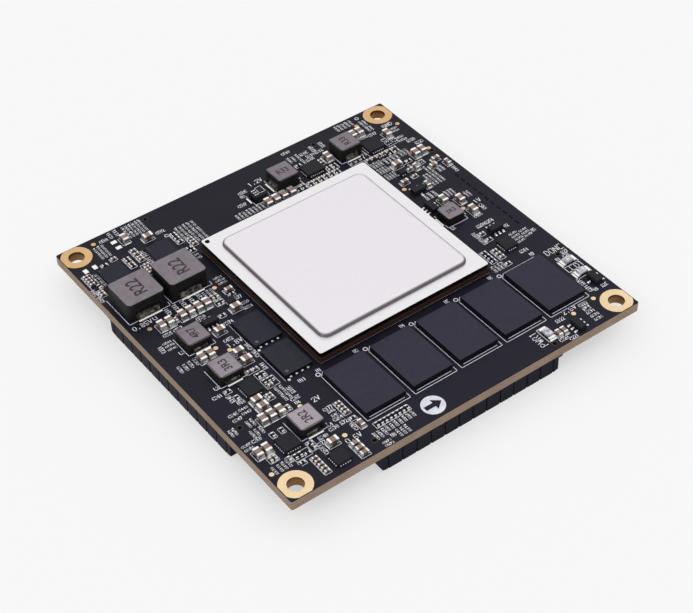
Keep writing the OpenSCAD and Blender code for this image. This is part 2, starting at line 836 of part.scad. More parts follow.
module small_inductor_terminals() {
    color(tin) {
        on_board(east_inductor_place, 90)
            inductor_terminals(east_inductor_w, east_inductor_w, east_inductor_h);
        on_board(black_inductor_place, 90)
            inductor_terminals(black_inductor_w, black_inductor_w, black_inductor_h);
    }
}

// Pads along all four sides of a leadless chip
module chip_pads(w, l) {
    for (turn = [0 : 90 : 270]) {
        along = turn % 180 == 0 ? w : l;
        across = turn % 180 == 0 ? l : w;
        rotate(turn)
            translate([0, across / 2, 0])
                pad_row(floor(along / pad_pitch) - 1, pad_pitch, pad_w, pad_reach, terminal_t);
    }
}

module power_stage(k) {
    color(mould_black)
        on_board(stage_places[k])
            flat_chip(stage_w, stage_l, flat_chip_t);
}

module power_stage_pads() {
    color(tin)
        for (place = stage_places)
            on_board(place)
                chip_pads(stage_w, stage_l);
}

module regulator_chips() {
    color(mould_black)
        for (item = regulator_places)
            on_board(item[0])
                flat_chip(item[1], item[2], flat_chip_t);
}

module regulator_chip_pads() {
    color(tin)
        for (item = regulator_places)
            on_board(item[0])
                chip_pads(item[1], item[2]);
}

// Moulded body with drafted long sides and an upright band where the leads come out
module leaded_body() {
    middle = (leaded_gap + leaded_h) / 2;
    half = leaded_w / 2;
    rotate([90, 0, 90])
        linear_extrude(leaded_l, center = true)
            polygon([
                [-half + leaded_draft, leaded_gap], [half - leaded_draft, leaded_gap],
                [half, middle - lead_t], [half, middle + lead_t],
                [half - leaded_draft, leaded_h], [-half + leaded_draft, leaded_h],
                [-half, middle + lead_t], [-half, middle - lead_t]
            ]);
}

// One bent lead: out of the body, down, and out again along the board
module bent_lead() {
    high = (leaded_gap + leaded_h + lead_t) / 2;
    low = high - lead_t;
    rotate([90, 0, 90])
        linear_extrude(lead_w, center = true)
            polygon([
                [0, low], [lead_shoulder - lead_t, low], [lead_shoulder - lead_t, 0],
                [lead_reach, 0], [lead_reach, lead_t], [lead_shoulder, lead_t],
                [lead_shoulder, high], [0, high]
            ]);
}

// Leads along one side, spread over three places: one in the middle, two at the ends, or all three
module lead_row(count) {
    slots = count == 1 ? [0] : count == 2 ? [-1, 1] : [-1, 0, 1];
    for (slot = slots)
        translate([slot * lead_pitch, leaded_w / 2, 0])
            bent_lead();
}

module leaded_chip_bodies() {
    color(mould_black)
        at_each(leaded_places)
            leaded_body();
}

module leaded_chip_leads() {
    color(tin)
        for (item = leaded_places)
            on_board(item[0], item[1]) {
                lead_row(item[2]);
                rotate(180)
                    lead_row(item[3]);
            }
}

// Two-ended chip parts: the body between its metal ends, and the ends, which stand a little proud
module chip_body(l, w, h, end) {
    translate([-l / 2 + end, -w / 2, 0])
        cube([l - 2 * end, w, h]);
}

module chip_ends(l, w, h, end) {
    for (turn = [0, 180])
        rotate(turn)
            translate([l / 2 - end, -w / 2 - terminal_lip, 0])
                cube([end, w + 2 * terminal_lip, h + terminal_lip]);
}

module lamp_bases() {
    color([0.93, 0.93, 0.90])
        at_each(lamp_places)
            chip_body(lamp_l, lamp_w, lamp_base_h, lamp_end);
}

// Clear lens with a flat top and drafted ends
module lamp_lenses() {
    foot = lamp_l / 2 - lamp_end;
    color([0.95, 0.95, 0.90])
        at_each(lamp_places)
            translate([0, 0, lamp_base_h])
                rotate([90, 0, 0])
                    linear_extrude(lamp_w, center = true)
                        polygon([
                            [-foot, 0], [foot, 0],
                            [foot - leaded_draft, lamp_lens_h], [-foot + leaded_draft, lamp_lens_h]
                        ]);
}

module lamp_terminals() {
    color(tin)
        at_each(lamp_places)
            chip_ends(lamp_l, lamp_w, lamp_base_h, lamp_end);
}

module large_capacitor_bodies() {
    color(ceramic_tan)
        at_each(large_places)
            chip_body(large_l, large_w, large_h, large_end);
}

module large_capacitor_terminals() {
    color(tin)
        at_each(large_places)
            chip_ends(large_l, large_w, large_h, large_end);
}

module medium_capacitor_bodies() {
    color(ceramic_tan)
        at_each(medium_places)
            chip_body(medium_l, medium_w, medium_h, medium_end);
}

module medium_capacitor_terminals() {
    color(tin)
        at_each(medium_places)
            chip_ends(medium_l, medium_w, medium_h, medium_end);
}

module small_capacitor_bodies() {
    color(ceramic_tan)
        at_each(small_cap_places)
            chip_body(small_l, small_w, small_cap_h, small_cap_end);
}

module small_capacitor_terminals() {
    color(tin)
        at_each(small_cap_places)
            chip_ends(small_l, small_w, small_cap_h, small_cap_end);
}

module small_resistor_bodies() {
    color(mould_black)
        at_each(small_res_places)
            chip_body(small_l, small_w, small_res_h, small_res_end);
}

module small_resistor_terminals() {
    color(tin)
        at_each(small_res_places)
            chip_ends(small_l, small_w, small_res_h, small_res_end);
}

// Repeats its children under the processor, hanging from the board's lower face
module at_underside() {
    for (i = [-underside_half : underside_half], j = [-underside_half : underside_half])
        translate([package_x + i * underside_pitch, package_y + j * underside_pitch, board_bottom])
            mirror([0, 0, 1])
                rotate(90 * ((i + j) % 2))
                    children();
}

module underside_capacitor_bodies() {
    color(ceramic_tan)
        at_underside()
            chip_body(small_l, small_w, small_cap_h, small_cap_end);
}

module underside_capacitor_terminals() {
    color(tin)
        at_underside()
            chip_ends(small_l, small_w, small_cap_h, small_cap_end);
}

// Side view of a housing: a bar with a ledge at each end under the board, and a chamfered lower corner
module housing_side() {
    body = connector_l / 2 - ledge_l;
    half = [
        [connector_l / 2, connector_h], [connector_l / 2, connector_h - ledge_h],
        [body, connector_h - ledge_h], [body, lead_in_h], [body - lead_in_l, 0]
    ];
    polygon(concat(half, [for (k = [len(half) - 1 : -1 : 0]) [-half[k].x, half[k].y]]));
}

// Room for one row of contacts: a slit through the slot's floor and a recess for the soldered feet
module contact_room() {
    room_l = contact_row_l + 2 * fit_gap;
    inner = slot_w / 2 - contact_t - fit_gap;
    translate([-room_l / 2, inner, connector_h - slot_floor - over])
        cube([room_l, contact_t + fit_gap, slot_floor + 2 * over]);
    translate([-room_l / 2, inner, connector_h - contact_t - fit_gap])
        cube([room_l, contact_foot_end + fit_gap - inner, contact_t + fit_gap + over]);
}

// Housing along X: grooved walls, a slot in the mating face, two rows of slits and two pegs
module connector_housing(k) {
    color(connector_blue)
        at_edge(k) {
            difference() {
                rotate([90, 0, 0])
                    linear_extrude(connector_w, center = true)
                        housing_side();
                translate([-slot_l / 2, -slot_w / 2, -over])
                    cube([slot_l, slot_w, connector_h - slot_floor + over]);
                for (turn = [0, 180])
                    rotate(turn)
                        contact_room();
                for (i = [-groove_count : groove_count], side = [-1, 1])
                    translate([i * groove_pitch, side * connector_w / 2, connector_h / 2])
                        cube([groove_w, 2 * groove_depth, connector_h + 2 * over], center = true);
            }
            translate([0, 0, connector_h])
                at_pegs(k)
                    cylinder(d = peg_d, h = peg_l);
        }
}

// One contact: a blade against the slot's wall, and a foot that runs outwards along the board
module contact() {
    wall = slot_w / 2;
    rotate([90, 0, 90])
        linear_extrude(contact_w, center = true)
            polygon([
                [wall - contact_t, contact_tip], [wall, contact_tip],
                [wall, connector_h - contact_t], [contact_foot_end, connector_h - contact_t],
                [contact_foot_end, connector_h], [wall - contact_t, connector_h]
            ]);
}

module connector_contacts(k) {
    color(gold)
        at_edge(k)
            for (turn = [0, 180], i = [0 : contact_count - 1])
                rotate(turn)
                    translate([(i - (contact_count - 1) / 2) * contact_pitch, 0, 0])
                        contact();
}

circuit_board();
mounting_hole_plating();
test_pads();
bare_solder_pads();
processor_solder_balls();
processor_substrate();
processor_die();
processor_thermal_paste();
processor_lid_adhesive();
processor_lid();
for (k = [0 : memory_count - 1])
    memory_chip(k);
memory_solder_balls();
for (k = [0, 1])
    flash_chip(k);
flash_chip_pads();
for (k = [0, 1])
    core_inductor(k);
core_inductor_terminals();
for (k = [0 : 2])
    low_inductor(k);
low_inductor_terminals();
for (k = [0, 1])
    tall_inductor(k);
tall_inductor_terminals();
east_inductor();
black_inductor();
small_inductor_terminals();
for (k = [0, 1])
    power_stage(k);
power_stage_pads();
regulator_chips();
regulator_chip_pads();
leaded_chip_bodies();
leaded_chip_leads();
lamp_bases();
lamp_lenses();
lamp_terminals();
large_capacitor_bodies();
large_capacitor_terminals();
medium_capacitor_bodies();
medium_capacitor_terminals();
small_capacitor_bodies();
small_capacitor_terminals();
small_resistor_bodies();
small_resistor_terminals();
underside_capacitor_bodies();
underside_capacitor_terminals();
for (k = [0 : 3])
    connector_housing(k);
for (k = [0 : 3])
    connector_contacts(k);
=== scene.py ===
# %% [markdown]
# # A system on module
# The real object is a square circuit board, 80 mm wide. The frame already holds its solids: the board, the
# chips, the inductors and the connectors. This lesson dresses them: finishes, soft edges, solder and print.
# We load the frame first.

# %% Load the frame
import json
import math

import bmesh
import bpy
from mathutils import Matrix, Quaternion, Vector


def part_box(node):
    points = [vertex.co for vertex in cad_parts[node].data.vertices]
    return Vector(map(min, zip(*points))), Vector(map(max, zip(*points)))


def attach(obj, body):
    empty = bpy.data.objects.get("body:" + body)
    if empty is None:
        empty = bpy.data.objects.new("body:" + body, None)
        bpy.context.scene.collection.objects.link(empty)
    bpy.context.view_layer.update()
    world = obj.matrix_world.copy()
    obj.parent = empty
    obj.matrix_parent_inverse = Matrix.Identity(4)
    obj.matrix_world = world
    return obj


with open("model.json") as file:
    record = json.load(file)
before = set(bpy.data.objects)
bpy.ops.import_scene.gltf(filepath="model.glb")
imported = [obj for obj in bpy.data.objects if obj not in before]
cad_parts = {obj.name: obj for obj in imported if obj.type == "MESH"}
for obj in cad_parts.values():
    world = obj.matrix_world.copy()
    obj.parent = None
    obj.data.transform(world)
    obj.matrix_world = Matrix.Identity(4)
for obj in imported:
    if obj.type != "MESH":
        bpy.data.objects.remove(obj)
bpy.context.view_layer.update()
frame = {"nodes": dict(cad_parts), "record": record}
MM = 0.001
slack = 0.01


def box_mm(name):
    """The lowest and the highest corner of a node, in millimetres."""
    return [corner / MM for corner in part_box(name)]


board_high = box_mm("circuit_board")[1]
board_top = board_high.z
print("nodes:", len(frame["nodes"]), "board top at", round(board_top, 3), "mm")

# %% [markdown]
# ## The camera
# A photograph of a square board tells where its camera stood: the four corners and holes fix it. Two points
# and an angle are enough: where it stands, where it looks, and how far it leans to one side. Depth of field
# stays off, so that every view is sharp.

# %% Camera
camera_place = Vector((-141.64, -202.19, 229.86))
camera_aim = Vector((-1.52, -3.59, 2.23))
camera_lean = math.radians(-2.07)
camera_data = bpy.data.cameras.new("photo_camera")
camera_data.lens = 90.3
camera_data.sensor_width = 36
camera = bpy.data.objects.new("photo_camera", camera_data)
bpy.context.scene.collection.objects.link(camera)
camera.location = camera_place * MM
looking = (camera_aim - camera_place).to_track_quat("-Z", "Y")
camera.rotation_euler = (looking @ Quaternion((0, 0, 1), camera_lean)).to_euler()
camera_data.clip_start = 0.01
bpy.context.scene.camera = camera
bpy.context.scene.view_settings.view_transform = "Standard"
print("camera distance:", round((camera_aim - camera_place).length), "mm")

# %% [markdown]
# ## Nodes in few words
# A material is a small graph. Making each node by hand takes four lines, so one helper makes a node, sets
# its options, and fills each input with a value or with a link from another node's output.

# %% Node helpers
def put(tree, kind, inputs=None, **options):
    made = tree.nodes.new(kind)
    for key, value in options.items():
        setattr(made, key, value)
    for key, value in (inputs or {}).items():
        if isinstance(value, bpy.types.NodeSocket):
            tree.links.new(value, made.inputs[key])
        else:
            made.inputs[key].default_value = value
    return made


def linear(red, green, blue):
    """A colour as a screen shows it, 0 to 255, as the linear colour that a shader takes."""
    def channel(value):
        share = value / 255
        return share / 12.92 if share < 0.04045 else ((share + 0.055) / 1.055) ** 2.4
    return (channel(red), channel(green), channel(blue), 1)


def blend_colours(tree, mask, first, second):
    mix = put(tree, "ShaderNodeMix", {0: mask, 6: first, 7: second}, data_type="RGBA")
    return mix.outputs[2]


def blend_values(tree, mask, first, second):
    return put(tree, "ShaderNodeMix", {0: mask, 2: first, 3: second}).outputs[0]


def calculate(tree, operation, first, second=0.0):
    return put(tree, "ShaderNodeMath", {0: first, 1: second}, operation=operation).outputs[0]


def object_place(tree):
    return put(tree, "ShaderNodeTexCoord").outputs["Object"]


# %% [markdown]
# ## Light and floor
# The photograph has soft light from above and a little behind, so tops are bright and the near sides dark.
# Lamps at a distance would leave the far floor darker, so we use two suns and a grey world, which light it
# evenly. The first sun is as wide as a studio ceiling, so that plated faces mirror about the same light from
# every side. The floor glows for the rays that see it, which holds it pale, and still takes a shadow.

# %% World and suns
def sun(name, strength, spread, azimuth, elevation):
    data = bpy.data.lights.new(name, "SUN")
    data.energy = strength
    data.angle = math.radians(spread)
    lamp = bpy.data.objects.new(name, data)
    bpy.context.scene.collection.objects.link(lamp)
    turn, rise = math.radians(azimuth), math.radians(elevation)
    back = Vector((math.sin(turn) * math.cos(rise), -math.cos(turn) * math.cos(rise), math.sin(rise)))
    lamp.rotation_euler = back.to_track_quat("Z", "Y").to_euler()


world = bpy.data.worlds.new("studio")
bpy.context.scene.world = world
world.use_nodes = True
world.node_tree.nodes["Background"].inputs["Color"].default_value = (0.40, 0.40, 0.41, 1)
sun("overhead_light", 1.66, 120, 150, 80)
sun("window_light", 0.4, 40, -70, 38)

# %% Floor
floor_half = 8.0
floor_glow = 0.55
floor_mesh = bpy.data.meshes.new("floor")
bm = bmesh.new()
bmesh.ops.create_grid(bm, x_segments=1, y_segments=1, size=floor_half)
bm.to_mesh(floor_mesh)
bm.free()
floor = bpy.data.objects.new("floor", floor_mesh)
bpy.context.scene.collection.objects.link(floor)
paper = bpy.data.materials.new("floor_paper")
paper.use_nodes = True
tree = paper.node_tree
tree.nodes.clear()
light_path = put(tree, "ShaderNodeLightPath").outputs
seen = calculate(tree, "MAXIMUM", light_path["Is Camera Ray"], light_path["Is Glossy Ray"])
seen = calculate(tree, "MAXIMUM", seen, light_path["Is Transmission Ray"])
matt = put(tree, "ShaderNodeBsdfDiffuse", {"Color": (0.90, 0.90, 0.90, 1)})
glow = put(tree, "ShaderNodeEmission", {"Color": (0.965, 0.965, 0.965, 1)})
share = calculate(tree, "MULTIPLY", seen, floor_glow)
lit = put(tree, "ShaderNodeMixShader", {0: share, 1: matt.outputs[0], 2: glow.outputs[0]})
clear = put(tree, "ShaderNodeBsdfTransparent")
below = put(tree, "ShaderNodeNewGeometry").outputs["Backfacing"]
sided = put(tree, "ShaderNodeMixShader", {0: below, 1: lit.outputs[0], 2: clear.outputs[0]})
put(tree, "ShaderNodeOutputMaterial", {"Surface": sided.outputs[0]})
floor_mesh.materials.append(paper)
print("floor:", 2 * floor_half, "m wide")

# %% [markdown]
# ## Effects that finishes share
# No made thing is one flat colour. A few small node groups carry what the finishes share: a grain, loose
# patches, masks of the faces that look up or lie flat, a mask that grows toward the south of the board, the
# layers of a laminate, and the tracks under a solder mask. Each group gives only masks and heights. The
# shader stays in each material.

# %% Node groups
def group(name, inputs, *outputs):
    """A new node group with named number sockets, and the sockets of its input node."""
    made = bpy.data.node_groups.new(name, "ShaderNodeTree")
    for socket, value in inputs.items():
        made.interface.new_socket(socket, in_out="INPUT", socket_type="NodeSocketFloat").default_value = value
    for socket in outputs:
        made.interface.new_socket(socket, in_out="OUTPUT", socket_type="NodeSocketFloat")
    return made, put(made, "NodeGroupInput").outputs


def give(tree, **results):
    put(tree, "NodeGroupOutput", results)


def noise(tree, scale, detail=3.0):
    inputs = {"Vector": object_place(tree), "Scale": scale, "Detail": detail}
    return put(tree, "ShaderNodeTexNoise", inputs).outputs[0]


def coordinate(tree, vector, letter):
    return put(tree, "ShaderNodeSeparateXYZ", {0: vector}).outputs[letter]


def normal_up(tree):
    return coordinate(tree, put(tree, "ShaderNodeNewGeometry").outputs["Normal"], "Z")


def ramp(tree, value, start, end, **options):
    """Grows from 0 to 1 while a value goes from a start to an end."""
    inputs = {"Value": value, "From Min": start, "From Max": end}
    return put(tree, "ShaderNodeMapRange", inputs, **options).outputs[0]


tree, given = group("grain", {"Grains per metre": 4000.0}, "Mask", "Height")
coarse = noise(tree, calculate(tree, "MULTIPLY", given[0], 0.12))
fine = noise(tree, given[0], 2.0)
both = blend_values(tree, 0.5, coarse, fine)
give(tree, Mask=ramp(tree, both, 0.38, 0.62), Height=fine)

tree, given = group("patches", {"Patches per metre": 1300.0, "From": 0.42, "To": 0.58}, "Mask")
cloud = noise(tree, given[0])
give(tree, Mask=ramp(tree, cloud, given["From"], given["To"]))

# The finishes use faces_up to paint shade on the sides of parts.
tree, given = group("faces_up", {"From": 0.55, "To": 0.9}, "Mask")
give(tree, Mask=ramp(tree, normal_up(tree), given["From"], given["To"]))

tree, given = group("faces_flat", {"Limit": 0.5}, "Mask")
upright = calculate(tree, "ABSOLUTE", normal_up(tree))
give(tree, Mask=calculate(tree, "GREATER_THAN", upright, given[0]))

# The finishes use southward to paint light that grows toward the south.
tree, given = group("southward", {"From": 0.0, "To": -0.03}, "Mask")
along = coordinate(tree, object_place(tree), "Y")
give(tree, Mask=ramp(tree, along, given["From"], given["To"]))

tree, given = group("laminate_layers", {"Layers per metre": 4000.0}, "Mask")
height = coordinate(tree, object_place(tree), "Z")
wobble = calculate(tree, "MULTIPLY", noise(tree, 900.0), 0.25)
steps = calculate(tree, "MULTIPLY", height, given[0])
bands = calculate(tree, "FRACT", calculate(tree, "ADD", steps, wobble))
give(tree, Mask=ramp(tree, bands, 0.55, 0.75, interpolation_type="SMOOTHSTEP"))


def parallel_tracks(tree, angle, pitch_per_metre):
    """Thin lines side by side, turned by an angle."""
    turn = (0, 0, math.radians(angle))
    turned = put(tree, "ShaderNodeMapping", {"Vector": object_place(tree), "Rotation": turn})
    across = calculate(tree, "MULTIPLY", coordinate(tree, turned.outputs[0], "X"), pitch_per_metre)
    return calculate(tree, "LESS_THAN", calculate(tree, "FRACT", across), 0.42)


tree, given = group("tracks_under_mask", {"Tracks per metre": 2200.0}, "Mask")
regions = put(tree, "ShaderNodeTexVoronoi", {"Vector": object_place(tree), "Scale": 130.0})
which = put(tree, "ShaderNodeSeparateColor", {0: regions.outputs["Color"]}).outputs
straight, crossing, slanted = (parallel_tracks(tree, angle, given[0]) for angle in (0, 90, 45))
pick = blend_values(tree, calculate(tree, "GREATER_THAN", which[0], 0.5), straight, crossing)
pick = blend_values(tree, calculate(tree, "GREATER_THAN", which[1], 0.7), pick, slanted)
poured = calculate(tree, "GREATER_THAN", which[2], 0.45)
give(tree, Mask=blend_values(tree, poured, pick, 1.0))
print("groups:", [g.name for g in bpy.data.node_groups])

# %% [markdown]
# ## Finishes
# Each finish is one short function with the colours that the photograph shows. All start from a Principled
# shader and a grain, which varies the colour and the roughness and lifts a slight bump.

# %% Finish helpers
finishes = {}


def effect(tree, shared, **inputs):
    """The outputs of a shared node group, with its inputs set."""
    named = {key.replace("_", " "): value for key, value in inputs.items()}
    return put(tree, "ShaderNodeGroup", named, node_tree=bpy.data.node_groups[shared]).outputs


def finish(name, grains, **plain):
    """A new material: its node tree, its shader with plain numbers set, and the outputs of its grain."""
    material = bpy.data.materials.new(name)
    material.use_nodes = True
    tree = material.node_tree
    shader = tree.nodes["Principled BSDF"]
    for key, value in plain.items():
        shader.inputs[key.replace("_", " ")].default_value = value
    finishes[name] = material
    return tree, shader, effect(tree, "grain", Grains_per_metre=grains)


def tone(tree, speckle, dark, light):
    """A colour that wanders between two with the grain."""
    return blend_colours(tree, speckle["Mask"], linear(*dark), linear(*light))


def faces_up(tree, start=0.55, end=0.9):
    return effect(tree, "faces_up", From=start, To=end)[0]


def southward(tree, start, end):
    """A mask that grows from 0 to 1 between two places along the board's Y, given in millimetres."""
    return effect(tree, "southward", From=start * MM, To=end * MM)[0]


def point_height(tree):
    return coordinate(tree, object_place(tree), "Z")


def join(tree, shader, colour, roughness, height, strength, depth=0.00002):
    """Links a colour, a roughness and a bump height to a shader."""
    tree.links.new(colour, shader.inputs["Base Color"])
    tree.links.new(roughness, shader.inputs["Roughness"])
    bump = put(tree, "ShaderNodeBump", {"Height": height, "Strength": strength, "Distance": depth})
    tree.links.new(bump.outputs[0], shader.inputs["Normal"])


def dress(tree, shader, speckle, colour, smooth, rough, strength):
    """Links a colour, with the roughness and the bump that its grain gives."""
    roughness = blend_values(tree, speckle["Mask"], smooth, rough)
    join(tree, shader, colour, roughness, speckle["Height"], strength)


def plain_finish(name, dark, light, smooth, rough, grains, strength, **plain):
    """A finish whose colour and roughness wander between two values with its grain."""
    tree, shader, speckle = finish(name, grains, **plain)
    dress(tree, shader, speckle, tone(tree, speckle, dark, light), smooth, rough, strength)


# %% Board finish
cut_edge = 0.2


def solder_mask():
    """Dark ink over copper tracks on both faces, paler toward the south as painted light, bare laminate on
    the cut edges, and drilled holes dark with painted shade.
    """
    tree, shader, speckle = finish("solder_mask", 2500.0, Specular_IOR_Level=0.12)
    tracks = effect(tree, "tracks_under_mask", Tracks_per_metre=2200.0)[0]
    # Painted light: the ink grows paler toward the south of the board.
    north = tone(tree, speckle, (21, 20, 30), (25, 24, 35))
    south = tone(tree, speckle, (25, 24, 36), (31, 30, 43))
    ink = blend_colours(tree, southward(tree, 20.0, -30.0), north, south)
    ink = blend_colours(tree, calculate(tree, "MULTIPLY", tracks, 0.35), ink, linear(31, 30, 43))
    layers = effect(tree, "laminate_layers", Layers_per_metre=1500.0)[0]
    glass = blend_colours(tree, layers, linear(142, 121, 104), linear(157, 135, 117))
    fibres = calculate(tree, "MULTIPLY", speckle["Mask"], 0.3)
    glass = blend_colours(tree, fibres, glass, linear(188, 170, 152))
    # Painted shade: the walls of the drilled holes are dark brown, while the outer cut edges keep the
    # laminate colour.
    sideways = [calculate(tree, "ABSOLUTE", coordinate(tree, object_place(tree), letter)) for letter in "XY"]
    reach = calculate(tree, "MAXIMUM", *sideways)
    outer = calculate(tree, "GREATER_THAN", reach, (board_high.x - cut_edge) * MM)
    glass = blend_colours(tree, outer, linear(46, 36, 28), glass)
    coated = effect(tree, "faces_flat", Limit=0.5)[0]
    colour = blend_colours(tree, coated, glass, ink)
    roughness = blend_values(tree, coated, 0.75, blend_values(tree, speckle["Mask"], 0.40, 0.50))
    relief = blend_values(tree, 0.25, tracks, speckle["Height"])
    join(tree, shader, colour, roughness, relief, 0.10, 0.00003)


solder_mask()

# %% Metals
def gold_plating():
    """Bright on the lands and pads of both faces and paler toward the south as painted light, and brown
    inside the drilled holes as painted shade.
    """
    tree, shader, speckle = finish("gold_plating", 3000.0, Metallic=1.0)
    # Painted light: the gold grows paler toward the south.
    north = tone(tree, speckle, (204, 165, 117), (218, 179, 131))
    south = tone(tree, speckle, (227, 200, 158), (241, 214, 176))
    flat = blend_colours(tree, southward(tree, 30.0, -30.0), north, south)
    # Painted shade: the plating on the hole walls is a dark brown copy of the gold.
    wall = tone(tree, speckle, (116, 82, 50), (142, 104, 66))
    colour = blend_colours(tree, effect(tree, "faces_flat", Limit=0.4)[0], wall, flat)
    dress(tree, shader, speckle, colour, 0.28, 0.38, 0.04)


def dull_tin(name, dark, light, climb=(1.0, 1.4)):
    """Strips that were bent and dipped: streaked, and darkened by painted shade where they climb between two
    heights, in mm.
    """
    tree, shader, speckle = finish(name, 3000.0, Metallic=1.0)
    patches = effect(tree, "patches", Patches_per_metre=1300.0, From=0.42, To=0.58)[0]
    strip = blend_colours(tree, patches, linear(*dark), linear(*light))
    start, end = ((board_top + rise) * MM for rise in climb)
    # Painted shade: the strip darkens toward the top of its climb, next to the part it holds.
    colour = blend_colours(tree, ramp(tree, point_height(tree), start, end), strip, linear(44, 42, 41))
    dress(tree, shader, speckle, colour, 0.26, 0.38, 0.04)


gold_plating()
# Darker copies of one tin, as painted shade: dull_tin, low_tin and shaded_tin. lead_tin keeps the bright tin
# colour.
dull_tin("dull_tin", (92, 89, 86), (168, 164, 158))
dull_tin("low_tin", (92, 89, 86), (168, 164, 158), (0.40, 0.60))
dull_tin("shaded_tin", (40, 38, 37), (84, 80, 76))
dull_tin("lead_tin", (226, 223, 219), (245, 243, 240), (0.15, 0.35))
plain_finish("tin", (236, 233, 230), (247, 245, 242), 0.20, 0.30, 3000.0, 0.03, Metallic=0.8)
plain_finish("pad_tin", (246, 245, 243), (253, 252, 250), 0.30, 0.40, 3000.0, 0.03, Metallic=0.2)

# %% Plastics, inks and the hidden pieces
for name, dark, light, smooth, rough, grains, strength, gloss in (
        ("silicon", (78, 80, 90), (92, 94, 104), 0.12, 0.2, 3000.0, 0.02, 0.5),
        ("thermal_paste", (168, 168, 170), (188, 188, 190), 0.6, 0.75, 2500.0, 0.3, 0.5),
        ("adhesive", (24, 24, 26), (34, 34, 36), 0.5, 0.65, 2500.0, 0.2, 0.5),
        ("lamp_ceramic", (24, 23, 28), (34, 33, 38), 0.45, 0.6, 4000.0, 0.05, 0.5),
        ("chip_black", (31, 30, 36), (38, 37, 43), 0.50, 0.62, 9000.0, 0.12, 0.15),
        ("connector_plastic", (19, 19, 32), (26, 26, 40), 0.45, 0.55, 6000.0, 0.08, 0.07),
        ("silk_ink", (206, 208, 218), (234, 235, 242), 0.6, 0.75, 7000.0, 0.05, 0.2),
        ("name_ink", (240, 241, 247), (252, 252, 255), 0.6, 0.75, 7000.0, 0.05, 0.2),
        ("code_ink", (54, 48, 52), (66, 60, 64), 0.6, 0.75, 6000.0, 0.05, 0.2),
        ("bare_rim", (62, 50, 36), (80, 66, 48), 0.5, 0.65, 6000.0, 0.05, 0.2),
        # Black ink for the lid's dot, and painted shade for the vias.
        ("black_ink_and_via_shade", (6, 6, 8), (11, 11, 14), 0.6, 0.75, 6000.0, 0.05, 0.05)):
    plain_finish(name, dark, light, smooth, rough, grains, strength, Specular_IOR_Level=gloss)

# %% Finishes that differ between top and sides
def mould_compound(name, dark, light, dimple_top=0.0):
    """Moulded resin: a matt grey top, sides darkened with painted shade, and paler dimples where pins pushed
    it out.
    """
    tree, shader, speckle = finish(name, 9000.0, Specular_IOR_Level=0.15)
    # Painted shade: the sides are much darker than the top.
    sides = tone(tree, speckle, (14, 14, 19), (20, 20, 26))
    top = tone(tree, speckle, dark, light)
    sunk = calculate(tree, "LESS_THAN", point_height(tree), dimple_top)
    top = blend_colours(tree, sunk, top, linear(88, 88, 95))
    dress(tree, shader, speckle, blend_colours(tree, faces_up(tree), sides, top), 0.55, 0.65, 0.1)


def inductor_block():
    """Pressed powder: a paler top and dark sides, which are painted shade, and palest on the southern blocks
    as painted light.
    """
    tree, shader, speckle = finish("inductor_block", 7000.0, Specular_IOR_Level=0.2)
    # Painted shade: the sides are far darker than the top.
    sides = tone(tree, speckle, (24, 22, 22), (34, 31, 31))
    top = tone(tree, speckle, (119, 111, 117), (133, 125, 131))
    pale = tone(tree, speckle, (158, 149, 157), (172, 163, 171))
    # Painted light: the tops grow paler toward the south.
    top = blend_colours(tree, southward(tree, 5.0, -22.0), top, pale)
    dress(tree, shader, speckle, blend_colours(tree, faces_up(tree), sides, top), 0.55, 0.7, 0.25)


def capacitor_ceramic():
    """Fired ceramic: warm, and a little darker on the sides, where shade is painted."""
    tree, shader, speckle = finish("capacitor_ceramic", 6000.0, Specular_IOR_Level=0.35)
    # Painted shade: the sides are a darker copy of the top.
    sides = tone(tree, speckle, (88, 70, 60), (106, 86, 74))
    top = tone(tree, speckle, (132, 110, 98), (148, 126, 113))
    dress(tree, shader, speckle, blend_colours(tree, faces_up(tree), sides, top), 0.32, 0.45, 0.08)


def lamp_lens():
    """Clear resin over a white cup: milky, with grey patches where the chip and its wire show."""
    tree, shader, speckle = finish("lamp_lens", 5000.0, Transmission_Weight=0.15, IOR=1.5)
    patches = effect(tree, "patches", Patches_per_metre=1500.0, From=0.40, To=0.62)[0]
    milk = tone(tree, speckle, (226, 214, 224), (248, 242, 247))
    colour = blend_colours(tree, patches, linear(150, 160, 164), milk)
    dress(tree, shader, speckle, colour, 0.16, 0.26, 0.15)


pale_rim = 0.14


def package_substrate():
    """Dark brown laminate, with faint layers and a pale lower rim on its cut edge."""
    tree, shader, speckle = finish("substrate", 4000.0, Specular_IOR_Level=0.2)
    layers = effect(tree, "laminate_layers", Layers_per_metre=1700.0)[0]
    face = tone(tree, speckle, (34, 24, 21), (44, 32, 28))
    edge = blend_colours(tree, layers, linear(58, 38, 31), linear(68, 47, 39))
    rim_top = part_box("processor_substrate")[0].z + pale_rim * MM
    rim = calculate(tree, "LESS_THAN", point_height(tree), rim_top)
    edge = blend_colours(tree, rim, edge, linear(150, 146, 144))
    dress(tree, shader, speckle, blend_colours(tree, faces_up(tree), edge, face), 0.45, 0.6, 0.1)


plateau_height = 0.8


